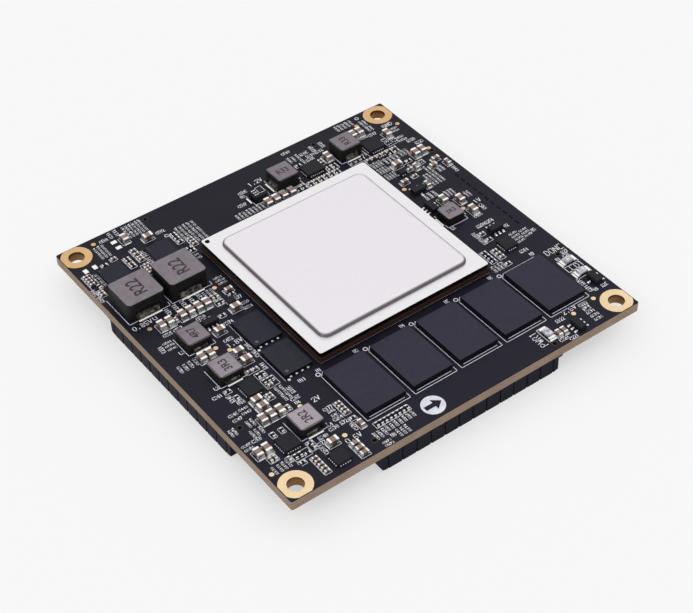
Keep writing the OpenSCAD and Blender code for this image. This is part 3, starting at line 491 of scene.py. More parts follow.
def lid_metal():
    """Plated metal: bright where it lies flat, grey on its slopes as painted shade, and dark brown on the
    brim's upright sides.
    """
    tree, shader, speckle = finish("lid_metal", 8000.0, Metallic=1.0)
    height = point_height(tree)
    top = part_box("processor_lid")[1].z
    raised = calculate(tree, "GREATER_THAN", height, top - 0.5 * plateau_height * MM)
    below = calculate(tree, "LESS_THAN", height, top - 1.15 * plateau_height * MM)
    plateau = tone(tree, speckle, (229, 225, 229), (232, 228, 232))
    flat = blend_colours(tree, raised, linear(233, 231, 232), plateau)
    # Painted shade: the slopes are a grey copy of the flat metal.
    painted_shade_slope = tone(tree, speckle, (128, 122, 126), (140, 134, 138))
    colour = blend_colours(tree, faces_up(tree, 0.72, 0.96), painted_shade_slope, flat)
    rim = calculate(tree, "MULTIPLY", below, calculate(tree, "SUBTRACT", 1.0, faces_up(tree, 0.1, 0.45)))
    colour = blend_colours(tree, rim, colour, linear(52, 40, 36))
    dress(tree, shader, speckle, colour, 0.42, 0.45, 0.006)


mould_compound("mould_compound", (45, 44, 58), (52, 51, 65))
dimple_depth = 0.05
dimple_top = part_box("flash_chip_1")[1].z - dimple_depth * MM
mould_compound("dark_mould", (37, 37, 47), (44, 44, 54), dimple_top)
inductor_block()
capacitor_ceramic()
lamp_lens()
package_substrate()
lid_metal()

# %% Dress the solids
wearers = {
    "chip_black": ("regulator_chips", "leaded_chip_bodies", "black_inductor", "small_resistor_bodies"),
    "dark_mould": ("flash_chip_1", "flash_chip_2", "power_stage_1", "power_stage_2"),
    "dull_tin": ("core_inductor_terminals", "tall_inductor_terminals"),
    "low_tin": ("low_inductor_terminals",), "shaded_tin": ("small_inductor_terminals",),
    "lead_tin": ("leaded_chip_leads",), "pad_tin": ("flash_chip_pads", "regulator_chip_pads"),
}
own_finish = {name: chosen for chosen, names in wearers.items() for name in names}
for subpart in frame["record"]["subparts"]:
    name = subpart["node"]
    chosen = own_finish.get(name, subpart["material_slot"])
    frame["nodes"][name].material_slots[0].material = finishes[chosen]
print("finishes:", sorted(finishes))

# %% [markdown]
# ## Soft edges on the solids
# Nothing moulded, pressed or dipped has a perfectly sharp edge, and edges catch the light. The solids must
# not change, so a Weld and a Bevel modifier round them, as far as the material of each piece asks.

# %% Soft edges
edge_rounding = {
    "solder_mask": 0.04, "gold_plating": 0.02, "tin": 0.05, "substrate": 0.03, "lid_metal": 0.12,
    "mould_compound": 0.04, "inductor_block": 0.2, "capacitor_ceramic": 0.04, "lamp_ceramic": 0.03,
    "lamp_lens": 0.08, "connector_plastic": 0.08,
}
hidden_rows = ("processor_solder_balls", "memory_solder_balls", "connector_contacts", "underside")


def soften(solid, rounding):
    weld = solid.modifiers.new("weld", "WELD")
    weld.merge_threshold = 0.001 * MM
    bevel = solid.modifiers.new("soft_edges", "BEVEL")
    bevel.width = rounding * MM
    bevel.segments = 2
    bevel.limit_method = "ANGLE"
    bevel.angle_limit = math.radians(35)


softened = 0
for subpart in frame["record"]["subparts"]:
    rounding = edge_rounding.get(subpart["material_slot"])
    if rounding and not subpart["node"].startswith(hidden_rows):
        soften(frame["nodes"][subpart["node"]], rounding)
        softened += 1
print("softened solids:", softened)

# %% [markdown]
# ## What stands on the board
# Print and solder have to keep clear of the parts, so we measure those in the frame: the loose triangles of a
# node are merged, and each connected island is one solid, with its box in millimetres.

# %% Islands of a node
def islands(name):
    """The lowest and highest corners, in mm, of each separate solid of a CAD node."""
    bm = bmesh.new()
    bm.from_mesh(frame["nodes"][name].data)
    bmesh.ops.remove_doubles(bm, verts=bm.verts, dist=0.0005 * MM)
    left = set(bm.verts)
    boxes = []
    while left:
        waiting = [left.pop()]
        found = []
        while waiting:
            vert = waiting.pop()
            found.append(vert.co / MM)
            for edge in vert.link_edges:
                other = edge.other_vert(vert)
                if other in left:
                    left.remove(other)
                    waiting.append(other)
        boxes.append(tuple(tuple(pick(p[k] for p in found) for k in range(3)) for pick in (min, max)))
    bm.free()
    return sorted(boxes)


def around(boxes):
    """The box, seen from above, that holds all of some boxes."""
    return [[pick(box[side][k] for box in boxes) for k in range(2)] for side, pick in ((0, min), (1, max))]


def centre(box):
    return [(box[0][k] + box[1][k]) / 2 for k in range(2)]


def box_at(x, y, half):
    return (x - half[0], y - half[1]), (x + half[0], y + half[1])


def touches(low, high, others, gap):
    """Whether a box reaches into one of the others by more than a gap."""
    return any(low[0] < b[1][0] - gap and b[0][0] < high[0] - gap and
               low[1] < b[1][1] - gap and b[0][1] < high[1] - gap for b in others)


standing = []
for name in sorted(frame["nodes"]):
    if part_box(name)[0].z / MM > board_top - slack and "ball" not in name:
        standing += islands(name)
standing += islands("mounting_hole_plating")
print("solids on the board:", len(standing))

# %% [markdown]
# ## Stamps
# Most of what we add is one small shape, repeated: a stroke of print, a fillet of solder, a via. A shape is
# made once, as a template mesh in millimetres. Stamping adds a moved copy to a growing bmesh, which becomes
# one piece. Its place is in its mesh, and its object stays at the origin.

# %% Stamps and pieces
def template(bm, name):
    made = bpy.data.meshes.new(name)
    bm.to_mesh(made)
    bm.free()
    return made


def stamp(bm, shape, matrix):
    copy = shape.copy()
    copy.transform(matrix)
    bm.from_mesh(copy)
    bpy.data.meshes.remove(copy)


def spread(first, last, count):
    return [first + (last - first) * k / (count - 1) for k in range(count)]


def place(x, y, z, turn=0.0, size=(1, 1, 1)):
    turned = Matrix.Rotation(math.radians(turn), 4, "Z")
    return Matrix.Translation((x, y, z)) @ turned @ Matrix.Diagonal((*size, 1))


def extrude(bm, faces, reach):
    """Pulls faces out to a solid, and turns all its faces outward."""
    grown = bmesh.ops.extrude_face_region(bm, geom=faces)
    moved = [v for v in grown["geom"] if isinstance(v, bmesh.types.BMVert)]
    bmesh.ops.translate(bm, vec=reach, verts=moved)
    bmesh.ops.recalc_face_normals(bm, faces=bm.faces)


def piece(bm, name, finish_name, at=(0, 0, 0)):
    """Turns a bmesh in millimetres into a finished piece that rides on the board."""
    bmesh.ops.translate(bm, vec=at, verts=bm.verts)
    bmesh.ops.scale(bm, vec=(MM, MM, MM), verts=bm.verts)
    faces = len(bm.faces)
    made = bpy.data.objects.new(name, template(bm, name))
    made.data.materials.append(finishes[finish_name])
    bpy.context.scene.collection.objects.link(made)
    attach(made, "root")
    print(name, "faces:", faces)


# %% [markdown]
# ## Solder
# Every small part is soldered to a pad by each end, and the solder climbs the end in a hollow curve. We spin
# a hollow profile from an arc, extrude it to a wedge of unit size, and stamp it at each end, stretched to the
# end's own width and height.

# %% Solder fillet
fillet_steps = 4
fillet_climb = 0.55
fillet_gap = 0.02


def fillet_wedge():
    """A wedge of unit reach along X, unit width along Y and unit height, with a hollow upper face."""
    bm = bmesh.new()
    corner = bm.verts.new((0, -0.5, 0))
    start = bm.verts.new((0, -0.5, 1))
    bmesh.ops.spin(bm, geom=[start], cent=(1, -0.5, 1), axis=(0, 1, 0), dvec=(0, 0, 0),
                   angle=-math.pi / 2, steps=fillet_steps, use_duplicate=False)
    curve = sorted((v for v in bm.verts if v is not corner), key=lambda v: v.co.x)
    extrude(bm, [bm.faces.new([corner] + curve)], (0, 1, 0))
    return template(bm, "fillet_wedge")


def add_solder(bm, end, body, reach, tall, widening=1.0, others=()):
    """Stamps a wedge before the face that an end turns away from its body, if no other part stands there."""
    spot = centre(end)
    share = [(spot[k] - centre(body)[k]) / (body[1][k] - body[0][k]) for k in range(2)]
    along = 0 if abs(share[0]) > abs(share[1]) else 1
    ahead = 1 if share[along] > 0 else -1
    spot[along] = end[1][along] if ahead > 0 else end[0][along]
    width = widening * (end[1][1 - along] - end[0][1 - along])
    low, high = list(spot), list(spot)
    low[along], high[along] = sorted((spot[along], spot[along] + ahead * reach))
    low[1 - along] -= width / 2
    high[1 - along] += width / 2
    if not touches(low, high, others, fillet_gap):
        turn = 90 * along if ahead > 0 else 90 * along + 180
        stamp(bm, wedge, place(*spot, board_top, turn, (reach, width, tall)))


def nearest(end, bodies):
    """The body that an end belongs to."""
    return min(bodies, key=lambda body: math.dist(centre(end), centre(body)))


def chip_parts(kind):
    """For each two-ended part: the box of its body, and the boxes of its ends."""
    bodies = islands("lamp_bases" if kind == "lamp" else kind + "_bodies")
    owners = [(end, nearest(end, bodies)) for end in islands(kind + "_terminals")]
    return [(body, [end for end, owner in owners if owner is body]) for body in bodies]


fillet_reach = {"large_capacitor": 0.32, "medium_capacitor": 0.26, "small_capacitor": 0.13,
                "small_resistor": 0.13, "lamp": 0.35}
chips = {kind: chip_parts(kind) for kind in fillet_reach}
wedge = fillet_wedge()
solder = bmesh.new()
for kind, reach in fillet_reach.items():
    for body, ends in chips[kind]:
        for end in ends:
            add_solder(solder, end, body, reach, fillet_climb * (end[1][2] - board_top), others=standing)
piece(solder, "solder_fillets", "tin")

# %% [markdown]
# The larger terminals and the bent leads stand on pads, and their solder shows as a bright bar in front of
# them. The same wedge serves, with its own reach, widening and height.

# %% Solder at inductors and leads
bar_reach = {
    "core_inductor": (0.34, 1.0, 0.25), "low_inductor": (0.3, 1.0, 0.22), "tall_inductor": (0.3, 1.0, 0.22),
    "small_inductor": (0.3, 1.0, 0.2), "leaded_chip": (0.3, 1.1, 0.12),
}
other_bodies = {"small_inductor": ("east_inductor", "black_inductor"), "leaded_chip": ("leaded_chip_bodies",)}
bars = bmesh.new()
for kind, (reach, widening, tall) in bar_reach.items():
    numbered = tuple(name for name in frame["nodes"] if name.startswith(kind) and name[-1].isdigit())
    bodies = [box for name in other_bodies.get(kind, numbered) for box in islands(name)]
    for end in islands(kind + ("_leads" if kind == "leaded_chip" else "_terminals")):
        add_solder(bars, end, nearest(end, bodies), reach, tall, widening)
piece(bars, "solder_bars", "tin")

# %% [markdown]
# ## The tiniest parts
# Beside the north-east chip stand parts as small as a grain of salt. The frame doesn't hold them, so they are
# made here: a body between two caps, all cubes with bevelled edges, stamped in short rows wherever no larger
# part stands in the way.

# %% Tiny parts
tiny_size = (0.62, 0.32, 0.26)
tiny_cap = 0.16
cap_lip = (0.02, 0.01)
tiny_bevel = 0.03
tiny_gap = 0.1
tiny_rows = [
    ((32.8, 34.4), (29.3, 28.1, 27.2), 0), ((33.6,), (28.7, 27.6), 90), ((26.0, 26.7), (28.6, 27.6), 90),
    (spread(28.6, 33.4, 6), (24.9,), 0), ((34.4,), (18.9, 18.3), 0), ((32.2, 32.8), (16.6,), 90),
]


def soft_cube(size, shift=0.0):
    bm = bmesh.new()
    matrix = Matrix.Translation((shift, 0, size[2] / 2)) @ Matrix.Diagonal((*size, 1))
    bmesh.ops.create_cube(bm, size=1, matrix=matrix)
    bmesh.ops.bevel(bm, geom=bm.edges[:], offset=tiny_bevel, offset_type="OFFSET", affect="EDGES", segments=1,
                    profile=0.5, material=-1)
    return template(bm, "tiny_shape")


tiny_body = soft_cube((tiny_size[0] - 2 * tiny_cap, tiny_size[1] - cap_lip[0], tiny_size[2] - cap_lip[1]))
cap_shift = (tiny_size[0] - tiny_cap) / 2
tiny_caps = [soft_cube((tiny_cap, *tiny_size[1:]), side * cap_shift) for side in (-1, 1)]
tiny_boxes = []
tiny_bodies = bmesh.new()
tiny_ends = bmesh.new()
for across, heights, turn in tiny_rows:
    half = [size / 2 for size in (tiny_size[1::-1] if turn else tiny_size[:2])]
    for x, y in ((x, y) for x in across for y in heights):
        box = box_at(x, y, half)
        if touches(*box, standing, -tiny_gap):
            continue
        stamp(tiny_bodies, tiny_body, place(x, y, board_top, turn))
        for cap in tiny_caps:
            stamp(tiny_ends, cap, place(x, y, board_top, turn))
        tiny_boxes.append(box)
standing += tiny_boxes
piece(tiny_bodies, "tiny_part_bodies", "chip_black")
piece(tiny_ends, "tiny_part_ends", "tin")

# %% [markdown]
# ## Print on the board
# The white print is drawn with one pen, so its letters are strokes of one width and not filled outlines. We
# do the same: a letter is a few lines on a grid of 4 by 6, and each line becomes a thin bar. The bars of a
# letter are a template, made once for each size.

# %% A pen alphabet
ink_thickness = 0.02
pen_paths = {
    "0": "10 30 41 45 36 16 05 01 10", "1": "15 26 20", "2": "05 16 36 45 44 00 40",
    "3": "05 16 36 45 44 33 42 41 30 10 01", "4": "30 36 02 42", "5": "46 06 03 33 42 41 30 10 01",
    "6": "36 16 05 01 10 30 41 42 33 03", "7": "06 46 10", "8": "13 05 16 36 45 33 13 01 10 30 41 33",
    "9": "10 30 41 45 36 16 05 04 13 43", "C": "45 36 16 05 01 10 30 41", "R": "00 06 36 45 44 33 03 23 40",
    "L": "06 00 40", "U": "06 01 10 30 41 46", "D": "00 06 26 44 42 20 00", "O": "10 30 41 45 36 16 05 01 10",
    "N": "00 06 40 46", "E": "46 06 03 33 03 00 40", "P": "00 06 36 45 44 33 03", "W": "06 10 24 30 46",
    "V": "06 20 46", "G": "45 36 16 05 01 10 30 41 43 23", "Q": "10 30 41 45 36 16 05 01 10 22 40",
    ".": "20 21",
}
letters = {}
name_height, name_width, name_advance = 0.8, 0.34, 0.5


def bar(bm, start, end, width):
    """A bar of print from one point to another, lying on the plane z = 0."""
    middle = (Vector(start) + Vector(end)) / 2
    run = Vector(end) - Vector(start)
    turn = Matrix.Rotation(math.atan2(run.y, run.x), 4, "Z")
    size = Matrix.Diagonal((run.length + width, width, ink_thickness, 1))
    shift = Matrix.Translation((middle.x, middle.y, ink_thickness / 2))
    bmesh.ops.create_cube(bm, size=1, matrix=shift @ turn @ size)


def letter(character, height, width, pen):
    key = (character, height, width, pen)
    if key not in letters:
        bm = bmesh.new()
        grid = [(int(p[0]) / 4 * width, int(p[1]) / 6 * height) for p in pen_paths[character].split()]
        for start, end in zip(grid, grid[1:]):
            bar(bm, start, end, pen)
        letters[key] = template(bm, "letter")
    return letters[key]


def write(bm, text, x, y, turn=0, height=name_height, width=name_width, advance=name_advance, pen=0.13):
    """Stamps a line of text, centred on a point of the board."""
    start = -((len(text) - 1) * advance + width) / 2
    origin = place(x, y, board_top, turn)
    for index, character in enumerate(text):
        spot = Matrix.Translation((start + index * advance, -height / 2, 0))
        stamp(bm, letter(character, height, width, pen), origin @ spot)


print("letters in the alphabet:", len(pen_paths))

# %% [markdown]
# ## Frames round the parts
# A frame is printed round each part, and it stops wherever a pad or a neighbour is in the way. So a line is
# cut: the stretches that lie over a part are taken out, and the bars that are left are stamped.

# %% Frame lines
frame_pen = 0.09
inductor_pen = 0.13
inductor_gap = 0.4
group_gap = 0.55
group_offset = 0.25
shortest_line = 0.25


def frame_line(bm, along, fixed, start, end, pen):
    """Prints the stretches of a straight line that keep clear of every part, given the axis it runs along."""
    across = 1 - along
    cuts = sorted((low[along] - pen, high[along] + pen) for low, high in standing
                  if low[across] - pen < fixed < high[across] + pen)
    for low, high in cuts + [(end, end)]:
        stop = min(low, end)
        if stop - start > shortest_line:
            bar(bm, *((a, fixed) if along == 0 else (fixed, a) for a in (start, stop)), pen)
        start = max(start, high)


def frame_box(bm, low, high, offset, pen=frame_pen):
    x0, x1 = low[0] - offset, high[0] + offset
    y0, y1 = low[1] - offset, high[1] + offset
    for y in (y0, y1):
        frame_line(bm, 0, y, x0, x1, pen)
    for x in (x0, x1):
        frame_line(bm, 1, x, y0, y1, pen)


def clusters(boxes, gap):
    """Boxes of the groups of parts that stand closer together than a gap."""
    groups = []
    for merged in boxes:
        apart = []
        for other in groups:
            if touches(*merged, [other], -gap):
                merged = around([merged, other])
            else:
                apart.append(other)
        groups = apart + [merged]
    return groups


lines = bmesh.new()
for kind, offset, pen in (("large_capacitor", 0.27, frame_pen), ("medium_capacitor", 0.25, frame_pen),
                          ("lamp", 0.3, inductor_pen)):
    for _, ends in chips[kind]:
        frame_box(lines, *around(ends), offset, pen)
small_boxes = [around(ends) for kind in ("small_capacitor", "small_resistor") for _, ends in chips[kind]]
for group_box in clusters(small_boxes + tiny_boxes, group_gap):
    frame_box(lines, *group_box, group_offset)
for name in sorted(frame["nodes"]):
    if "inductor_" in name and "terminals" not in name or name in ("east_inductor", "black_inductor"):
        low, high = box_mm(name)
        left, front = low.x - inductor_gap, low.y - inductor_gap
        frame_line(lines, 0, front, left, high.x + inductor_gap, inductor_pen)
        frame_line(lines, 1, left, front, high.y, inductor_pen)
        frame_line(lines, 1, high.x + inductor_gap, front, front + 1, inductor_pen)
piece(lines, "part_frames", "silk_ink", at=(0, 0, board_top))

# %% [markdown]
# ## Outlines and first-pin marks
# Each memory chip has an outline with one cut corner, a second line in front, and a ring at its first pin. A
# ring is two circles bridged by a loop of faces and then extruded by the thickness of the ink.

# %% Memory outlines
memory_names = [f"memory_chip_{k}" for k in range(1, 6)]
outline_pen = 0.13
outline_side = 0.3
outline_end = 0.9
cut_corner = 0.9
side_stub = 1.3
front_inset = 0.6
ring_offset = (0.15, 0.1)
flash_reach = 0.4
flash_dot = (0.4, 0.55)


def ring(outer, inner, sides=20):
    bm = bmesh.new()
    for radius in (outer, inner):
        bmesh.ops.create_circle(bm, segments=sides, radius=radius)
    bmesh.ops.bridge_loops(bm, edges=bm.edges[:])
    extrude(bm, bm.faces[:], (0, 0, ink_thickness))
    return template(bm, "pin_ring")


def disc(radius, sides=24):
    bm = bmesh.new()
    shift = Matrix.Translation((0, 0, ink_thickness / 2))
    bmesh.ops.create_cone(bm, cap_ends=True, segments=sides, radius1=radius, radius2=radius,
                          depth=ink_thickness, matrix=shift)
    return template(bm, "disc")


thin_pen = 0.07
pin_ring = ring(0.5, 0.31)
small_ring = ring(0.45, 0.3)
pin_dot = disc(0.3, 16)
outlines = bmesh.new()
for name in memory_names:
    low, high = box_mm(name)
    x0, x1 = low.x - outline_side, high.x + outline_side
    y0, y1 = low.y - outline_end, high.y + outline_end
    corners = [(x1, y0 + side_stub), (x1, y0), (x0, y0), (x0, y1 - cut_corner), (x0 + cut_corner, y1)]
    if name == memory_names[-1]:
        corners.append((x1 - cut_corner, y1))
    for start, end in zip(corners, corners[1:]):
        bar(outlines, start, end, outline_pen)
    front = low.y - outline_side
    bar(outlines, (low.x + front_inset, front), (high.x - front_inset, front), outline_pen)
    stamp(outlines, pin_ring, place(x0 - ring_offset[0], y1 - ring_offset[1], 0))
for name in ("flash_chip_1", "flash_chip_2"):
    low, high = box_mm(name)
    left = low.x - outline_side
    bar(outlines, (left, low.y - flash_reach), (left, high.y + flash_reach), thin_pen)
    stamp(outlines, pin_dot, place(low.x + flash_dot[0], low.y - flash_dot[1], 0))
for x, y in ((-19.6, 31.6), (32.7, 38.7)):
    stamp(outlines, small_ring, place(x, y, 0))
piece(outlines, "chip_outlines", "silk_ink", at=(0, 0, board_top))

# %% [markdown]
# ## Names of the parts
# Every part has a short printed name, a letter and a number. Where parts stand close, the names are gathered
# in blocks: columns that read upwards, and rows. A block is its first name and the places of its columns or
# rows. A single name has its own place, and a turn if it reads upwards. Names that would lie under a part are
# left out, as on the real board.

# %% Names
columns = [
    ("C301", spread(-33.0, -31.3, 3), (36.4, 34.3)), ("C311", (-28.5, -27.1), (38.6,)),
    ("C320", spread(-25.4, -21.6, 6), (38.4, 36.3)), ("C340", spread(-19.0, -13.4, 7), (31.6, 29.4, 27.2)),
    ("R101", (-39.5,), (26.0, 23.6)), ("C362", (-37.4, -36.7), (29.6, 27.3)),
    ("R110", (-26.2,), (29.8, 27.4)), ("C401", spread(-5.4, 0.6, 8), (27.4,)),
    ("C412", (13.2, 14.2, 15.3), (35.9, 33.8)), ("R120", (19.1, 21.5), (36.2,)),
    ("R124", spread(27.2, 30.8, 5), (38.4,)), ("C420", (32.4, 33.2), (36.6, 34.4)),
    ("R201", spread(25.6, 27.6, 4), (23.6, 21.3, 18.9)), ("C460", spread(28.7, 31.5, 4), (23.3,)),
    ("C466", spread(32.6, 34.2, 3), (23.4,)), ("R216", spread(31.6, 33.4, 3), (18.6,)),
    ("C430", spread(31.9, 34.4, 4), (16.2, 14.0, 11.9)), ("R240", (35.6, 36.5), (14.6,)),
    ("R244", spread(27.9, 30.1, 3), (9.0,)), ("C445", spread(31.9, 33.4, 3), (7.3,)),
    ("C450", (34.9, 35.6), (4.8,)), ("R258", (28.2,), (-6.3, -8.5)),
    ("R262", spread(24.6, 27.0, 4), (-16.1,)), ("R270", (35.2,), (-29.0, -31.2)),
    ("C211", spread(-31.2, -24.2, 5), (12.8,)), ("R131", spread(-23.2, -21.4, 3), (12.4,)),
    ("C230", spread(-37.7, -34.3, 4), (-1.7,)), ("C241", (-24.5,), (-4.3, -6.7)),
    ("R150", (-26.7, -25.7), (-16.9, -19.0)), ("C251", (-39.2, -38.4, -35.5, -34.6), (-20.5,)),
    ("C260", (-36.3, -35.4, -34.4), (-23.0,)), ("R160", (-38.1, -37.0, -36.1, -35.2), (-32.3,)),
    ("R20", spread(-16.8, -11.1, 7), (-36.3,)), ("R170", spread(-15.8, -14.0, 3), (-38.4,)),
    ("C275", spread(-19.5, -17.6, 3), (-36.6,)),
]
rows = [
    ("R301", -18.4, (23.2, 22.2)), ("R305", 16.9, (36.0, 33.6)), ("C520", 36.7, (31.2, 30.3)),
    ("C523", 36.0, (28.0, 26.9)), ("C531", -18.5, (15.0, 14.1, 13.2)), ("C541", -35.8, (5.8, 4.9, 3.9)),
    ("R330", -18.4, (6.0, 4.6)), ("C346", -36.4, (-17.0, -18.4)), ("C448", -34.1, (-16.8, -17.9)),
    ("C355", -38.7, (-24.5, -25.5)), ("R42", -22.1, (-26.9, -28.0)), ("C278", -18.7, (-38.7, -39.5)),
    ("R350", 34.4, (-10.2, -11.1, -12.0, -12.9)), ("R355", 36.6, (-10.6, -11.5, -12.4)),
    ("R371", 31.2, (-36.2, -37.3, -38.4)),
]
singles = [
    ("C441", 38.4, 12.6, 90), ("C453", 35.0, -0.2, 90), ("C221", -37.6, 4.8, 90), ("R141", -25.2, -10.2, 90),
    ("R145", -34.6, -13.5, 90), ("R156", -24.7, -18.2, 90), ("C268", -28.6, -33.8, 90),
    ("C270", -21.1, -32.4, 90), ("C501", -30.2, 38.0), ("C502", -20.0, 33.4), ("C505", -0.3, 33.3),
    ("C507", -2.6, 30.0), ("C510", 14.0, 38.5), ("R310", 17.6, 34.7), ("R312", 19.8, 34.7),
    ("C515", 29.9, 32.6), ("C517", 32.0, 32.3), ("R320", 37.2, 25.8), ("R323", 38.2, 24.2),
    ("C535", -34.5, 7.6), ("C537", -32.2, 7.6), ("C538", -27.2, 7.6), ("R77", -18.4, 8.0),
    ("C374", -23.8, 3.3), ("C452", -26.4, -0.5), ("C341", -36.2, -11.6), ("C358", -36.5, -24.5),
    ("R340", -26.9, -31.0), ("C377", -28.1, -32.1), ("C370", -24.2, -30.5), ("C177", -22.2, -26.0),
    ("C264", -22.2, -29.0), ("R72", -21.9, -30.4), ("C365", -25.3, -20.4), ("R361", 32.8, -15.4),
    ("R27", 38.7, -20.5), ("C28", 38.2, -21.5), ("R25", 38.3, -32.3), ("C222", 31.4, -33.8),
    ("R122", 25.2, -34.4), ("C320", 22.4, -38.6), ("C221", 24.2, -39.4), ("C455", 32.6, -1.7),
    ("R250", 31.0, -4.5), ("R254", 33.1, -4.5), ("L1", -34.0, 12.8), ("L3", -35.1, 1.9), ("L2", -35.1, -9.7),
    ("L4", -24.2, -29.4), ("L6", 26.2, -1.8), ("U18", -33.5, -15.3), ("U4", -25.6, -21.5),
    ("U11", -21.7, -17.4), ("U1", -17.9, -17.3), ("U9", -1.0, 32.2), ("U2", 34.9, -7.6), ("U3", 38.3, -11.9),
    ("U7", 33.3, -17.2), ("Q1", 36.2, -32.2), ("U8", -16.9, -38.2), ("D1", 36.2, -21.4),
]
memory_name = (-9.6, -17.5)
memory_pitch = 10.7
name_gap = 0.08
line_share = 0.47
names = bmesh.new()
left_out = []


def put_name(text, x, y, turn=0, height=name_height):
    half = (((len(text) - 1) * name_advance + name_width) / 2, height / 2)
    if touches(*box_at(x, y, half[::-1] if turn else half), standing, name_gap):
        left_out.append(text)
    else:
        write(names, text, x, y, turn, height)


def letter_height(places):
    """Letters that leave about half of the pitch between two lines of names."""
    pitch = min((abs(b - a) for a, b in zip(places, places[1:])), default=2)
    return round(min(name_height, line_share * pitch), 2)


def later(name, steps):
    return name[0] + str(int(name[1:]) + steps)


for name, across, heights in columns:
    for index, (y, x) in enumerate((y, x) for y in heights for x in across):
        put_name(later(name, index), x, y, 90, letter_height(across))
for name, x, heights in rows:
    for index, y in enumerate(heights):
        put_name(later(name, index), x, y, 0, letter_height(heights))
for single in singles:
    put_name(*single)
for index in range(4):
    put_name(later("U3", index), memory_name[0] + memory_pitch * index, memory_name[1])
piece(names, "part_names", "name_ink")
print("names left out under parts:", left_out)

# %% [markdown]
# ## Larger labels and the direction mark
# Voltages and lamp names are written larger. The round mark is a white disc with an arrow left bare. The
# disc's rim and the arrow's outline are two loops of edges. Filling between them leaves the hole, and one
# extrusion gives the ink its thickness.

# %% Labels
label_style = {"height": 1.05, "width": 0.6, "advance": 0.86, "pen": 0.13}
lamp_style = {"height": 1.45, "width": 0.76, "advance": 1.08, "pen": 0.12}
labels = bmesh.new()
for text, x, y in (("0.85V", -36.9, 12.65), ("1.8V", -25.9, -1.9), ("2V", -22.5, -22.8),
                   ("0.6V", -22.8, -34.5), ("2.5V", 28.3, -33.4), ("1.2V", 3.6, 34.5),
                   ("1V", 35.35, 1.85), ("GND", 36.4, 32.95)):
    write(labels, text, x, y, **label_style)
write(labels, "DONE", 37.35, -18.85, **lamp_style)
write(labels, "LED1", 37.35, -24.95, **lamp_style)
write(labels, "PWR1", 18.5, -35.9, 90, **lamp_style)
piece(labels, "large_labels", "name_ink")

# %% Direction mark
mark_place = (-7.0, -36.9)
mark_radius = 2.3
arrow = [(-1.8, -0.5), (0.2, -0.5), (0.2, -1.35), (1.9, 0), (0.2, 1.35), (0.2, 0.5), (-1.8, 0.5)]
mark = bmesh.new()
bmesh.ops.create_circle(mark, segments=56, radius=mark_radius)
corners = [mark.verts.new((x, y, 0)) for x, y in arrow]
for start, end in zip(corners, corners[1:] + corners[:1]):
    mark.edges.new((start, end))
bmesh.ops.triangle_fill(mark, use_beauty=True, edges=mark.edges[:])
extrude(mark, mark.faces[:], (0, 0, ink_thickness))
piece(mark, "direction_mark", "silk_ink", at=(*mark_place, board_top))

# %% [markdown]
# ## Codes on the inductors
# The value codes are printed in dark ink on the blocks' tops, in a plain upright face. Text is a curve, so we
# make it a mesh before we turn it and set it on its block.

# %% Inductor codes
codes = {
    "core_inductor_1": ("R22", 2.7, 4.5), "core_inductor_2": ("R22", 2.7, 4.5),
    "low_inductor_1": ("4R7", 1.7, 3.0), "low_inductor_2": ("3R3", 1.7, 3.0),
    "low_inductor_3": ("2R2", 1.7, 3.0), "tall_inductor_1": ("R33", 1.5, 2.7),
    "tall_inductor_2": ("R33", 1.5, 2.7), "east_inductor": ("3R3", 1.1, 2.2),
}
code_thickness = 0.01
code_weight = 0.016
code_turn = {"tall_inductor_1": 0, "east_inductor": 0}


def text_mesh(text):
    curve = bpy.data.curves.new("code", "FONT")
    curve.body = text
    curve.extrude = code_thickness / 2
    curve.offset = code_weight
    curve.resolution_u = 4
    holder = bpy.data.objects.new("code", curve)
    made = bpy.data.meshes.new_from_object(holder)
    bpy.data.objects.remove(holder)
    bpy.data.curves.remove(curve)
    return made


ink = bmesh.new()
for name, (text, tall, long) in codes.items():
    low, high = box_mm(name)
    flat = text_mesh(text)
    spans = [[v.co[k] for v in flat.vertices] for k in range(2)]
    shift = [-(min(span) + max(span)) / 2 for span in spans]
    flat.transform(Matrix.Translation((*shift, 0)))
    size = (long / (max(spans[0]) - min(spans[0])), tall / (max(spans[1]) - min(spans[1])), 1)
    middle = (low + high) / 2
    stamp(ink, flat, place(middle.x, middle.y, high.z + code_thickness / 2, code_turn.get(name, 90), size))
    bpy.data.meshes.remove(flat)
piece(ink, "inductor_codes", "code_ink")

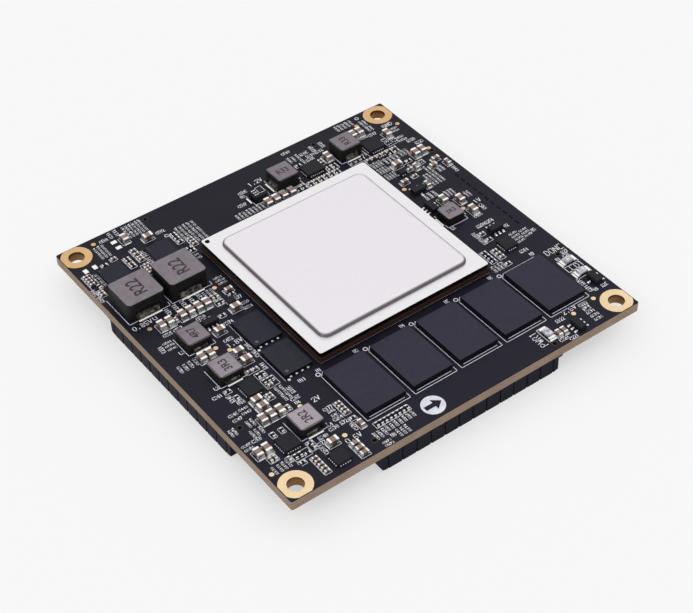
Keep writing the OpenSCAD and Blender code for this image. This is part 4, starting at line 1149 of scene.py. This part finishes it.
# %% Marks on the black inductor
black_low, black_high = box_mm("black_inductor")
window = [(1.5, 0.85), (2.85, 0.85), (2.85, 2.75), (1.5, 2.75)]
dash_length = 0.12
dash_pen = 0.24
marks = bmesh.new()
for start, end in zip(window, window[1:] + window[:1]):
    bar(marks, start, end, frame_pen)
for x in (0.45, 0.95):
    for y in (0.85, 1.55, 2.25):
        bar(marks, (x, y), (x + dash_length, y), dash_pen)
piece(marks, "black_inductor_marks", "silk_ink", at=(black_low.x, black_low.y, black_high.z))

# %% [markdown]
# ## Small marks
# The lid has a black dot at one corner of its brim. Along the east edge runs a row of vias, plated holes that
# the solder mask has nearly closed: each is a shallow ring, black with painted shade, and they come in pairs.
# The mask also stops short of the connectors' peg holes, so a brown rim shows round each. The board's own
# mesh
# tells where they are: its upper vertices near the edges, gathered in clusters, are the holes' circles.

# %% Pin mark and vias
lid_low, lid_high = box_mm("processor_lid")
dot_inset = 0.95
dot_radius = 0.5
dot_place = (lid_low.x + dot_inset, lid_high.y - dot_inset, lid_high.z - plateau_height)
dot = bmesh.new()
stamp(dot, disc(dot_radius), place(*dot_place))
piece(dot, "lid_pin_mark", "black_ink_and_via_shade")
# The vias are black: painted shade in holes that the mask has nearly closed.
via = ring(0.26, 0.05, 12)
via_line = 37.3
via_offset = 0.32
vias = bmesh.new()
for y in spread(10.6, -8.1, 11):
    for offset in (-via_offset, via_offset):
        stamp(vias, via, place(via_line, y + offset, board_top))
piece(vias, "edge_vias", "black_ink_and_via_shade")

# %% Peg hole rims
rim_width = 0.16
hole_gap = 0.8
edge_band = (board_high.x - 4.0, board_high.x - 1.0)
corner_reach = 30.0
upper = [v.co / MM for v in frame["nodes"]["circuit_board"].data.vertices if v.co.z / MM > board_top - slack]
near_edge = [(co, co) for co in upper if edge_band[0] < max(abs(co.x), abs(co.y)) < edge_band[1]
             and min(abs(co.x), abs(co.y)) < corner_reach]
rims = bmesh.new()
for low, high in clusters(near_edge, hole_gap):
    radius = (high[0] - low[0]) / 2
    stamp(rims, ring(radius + rim_width, radius), place(*centre((low, high)), board_top))
piece(rims, "peg_hole_rims", "bare_rim")
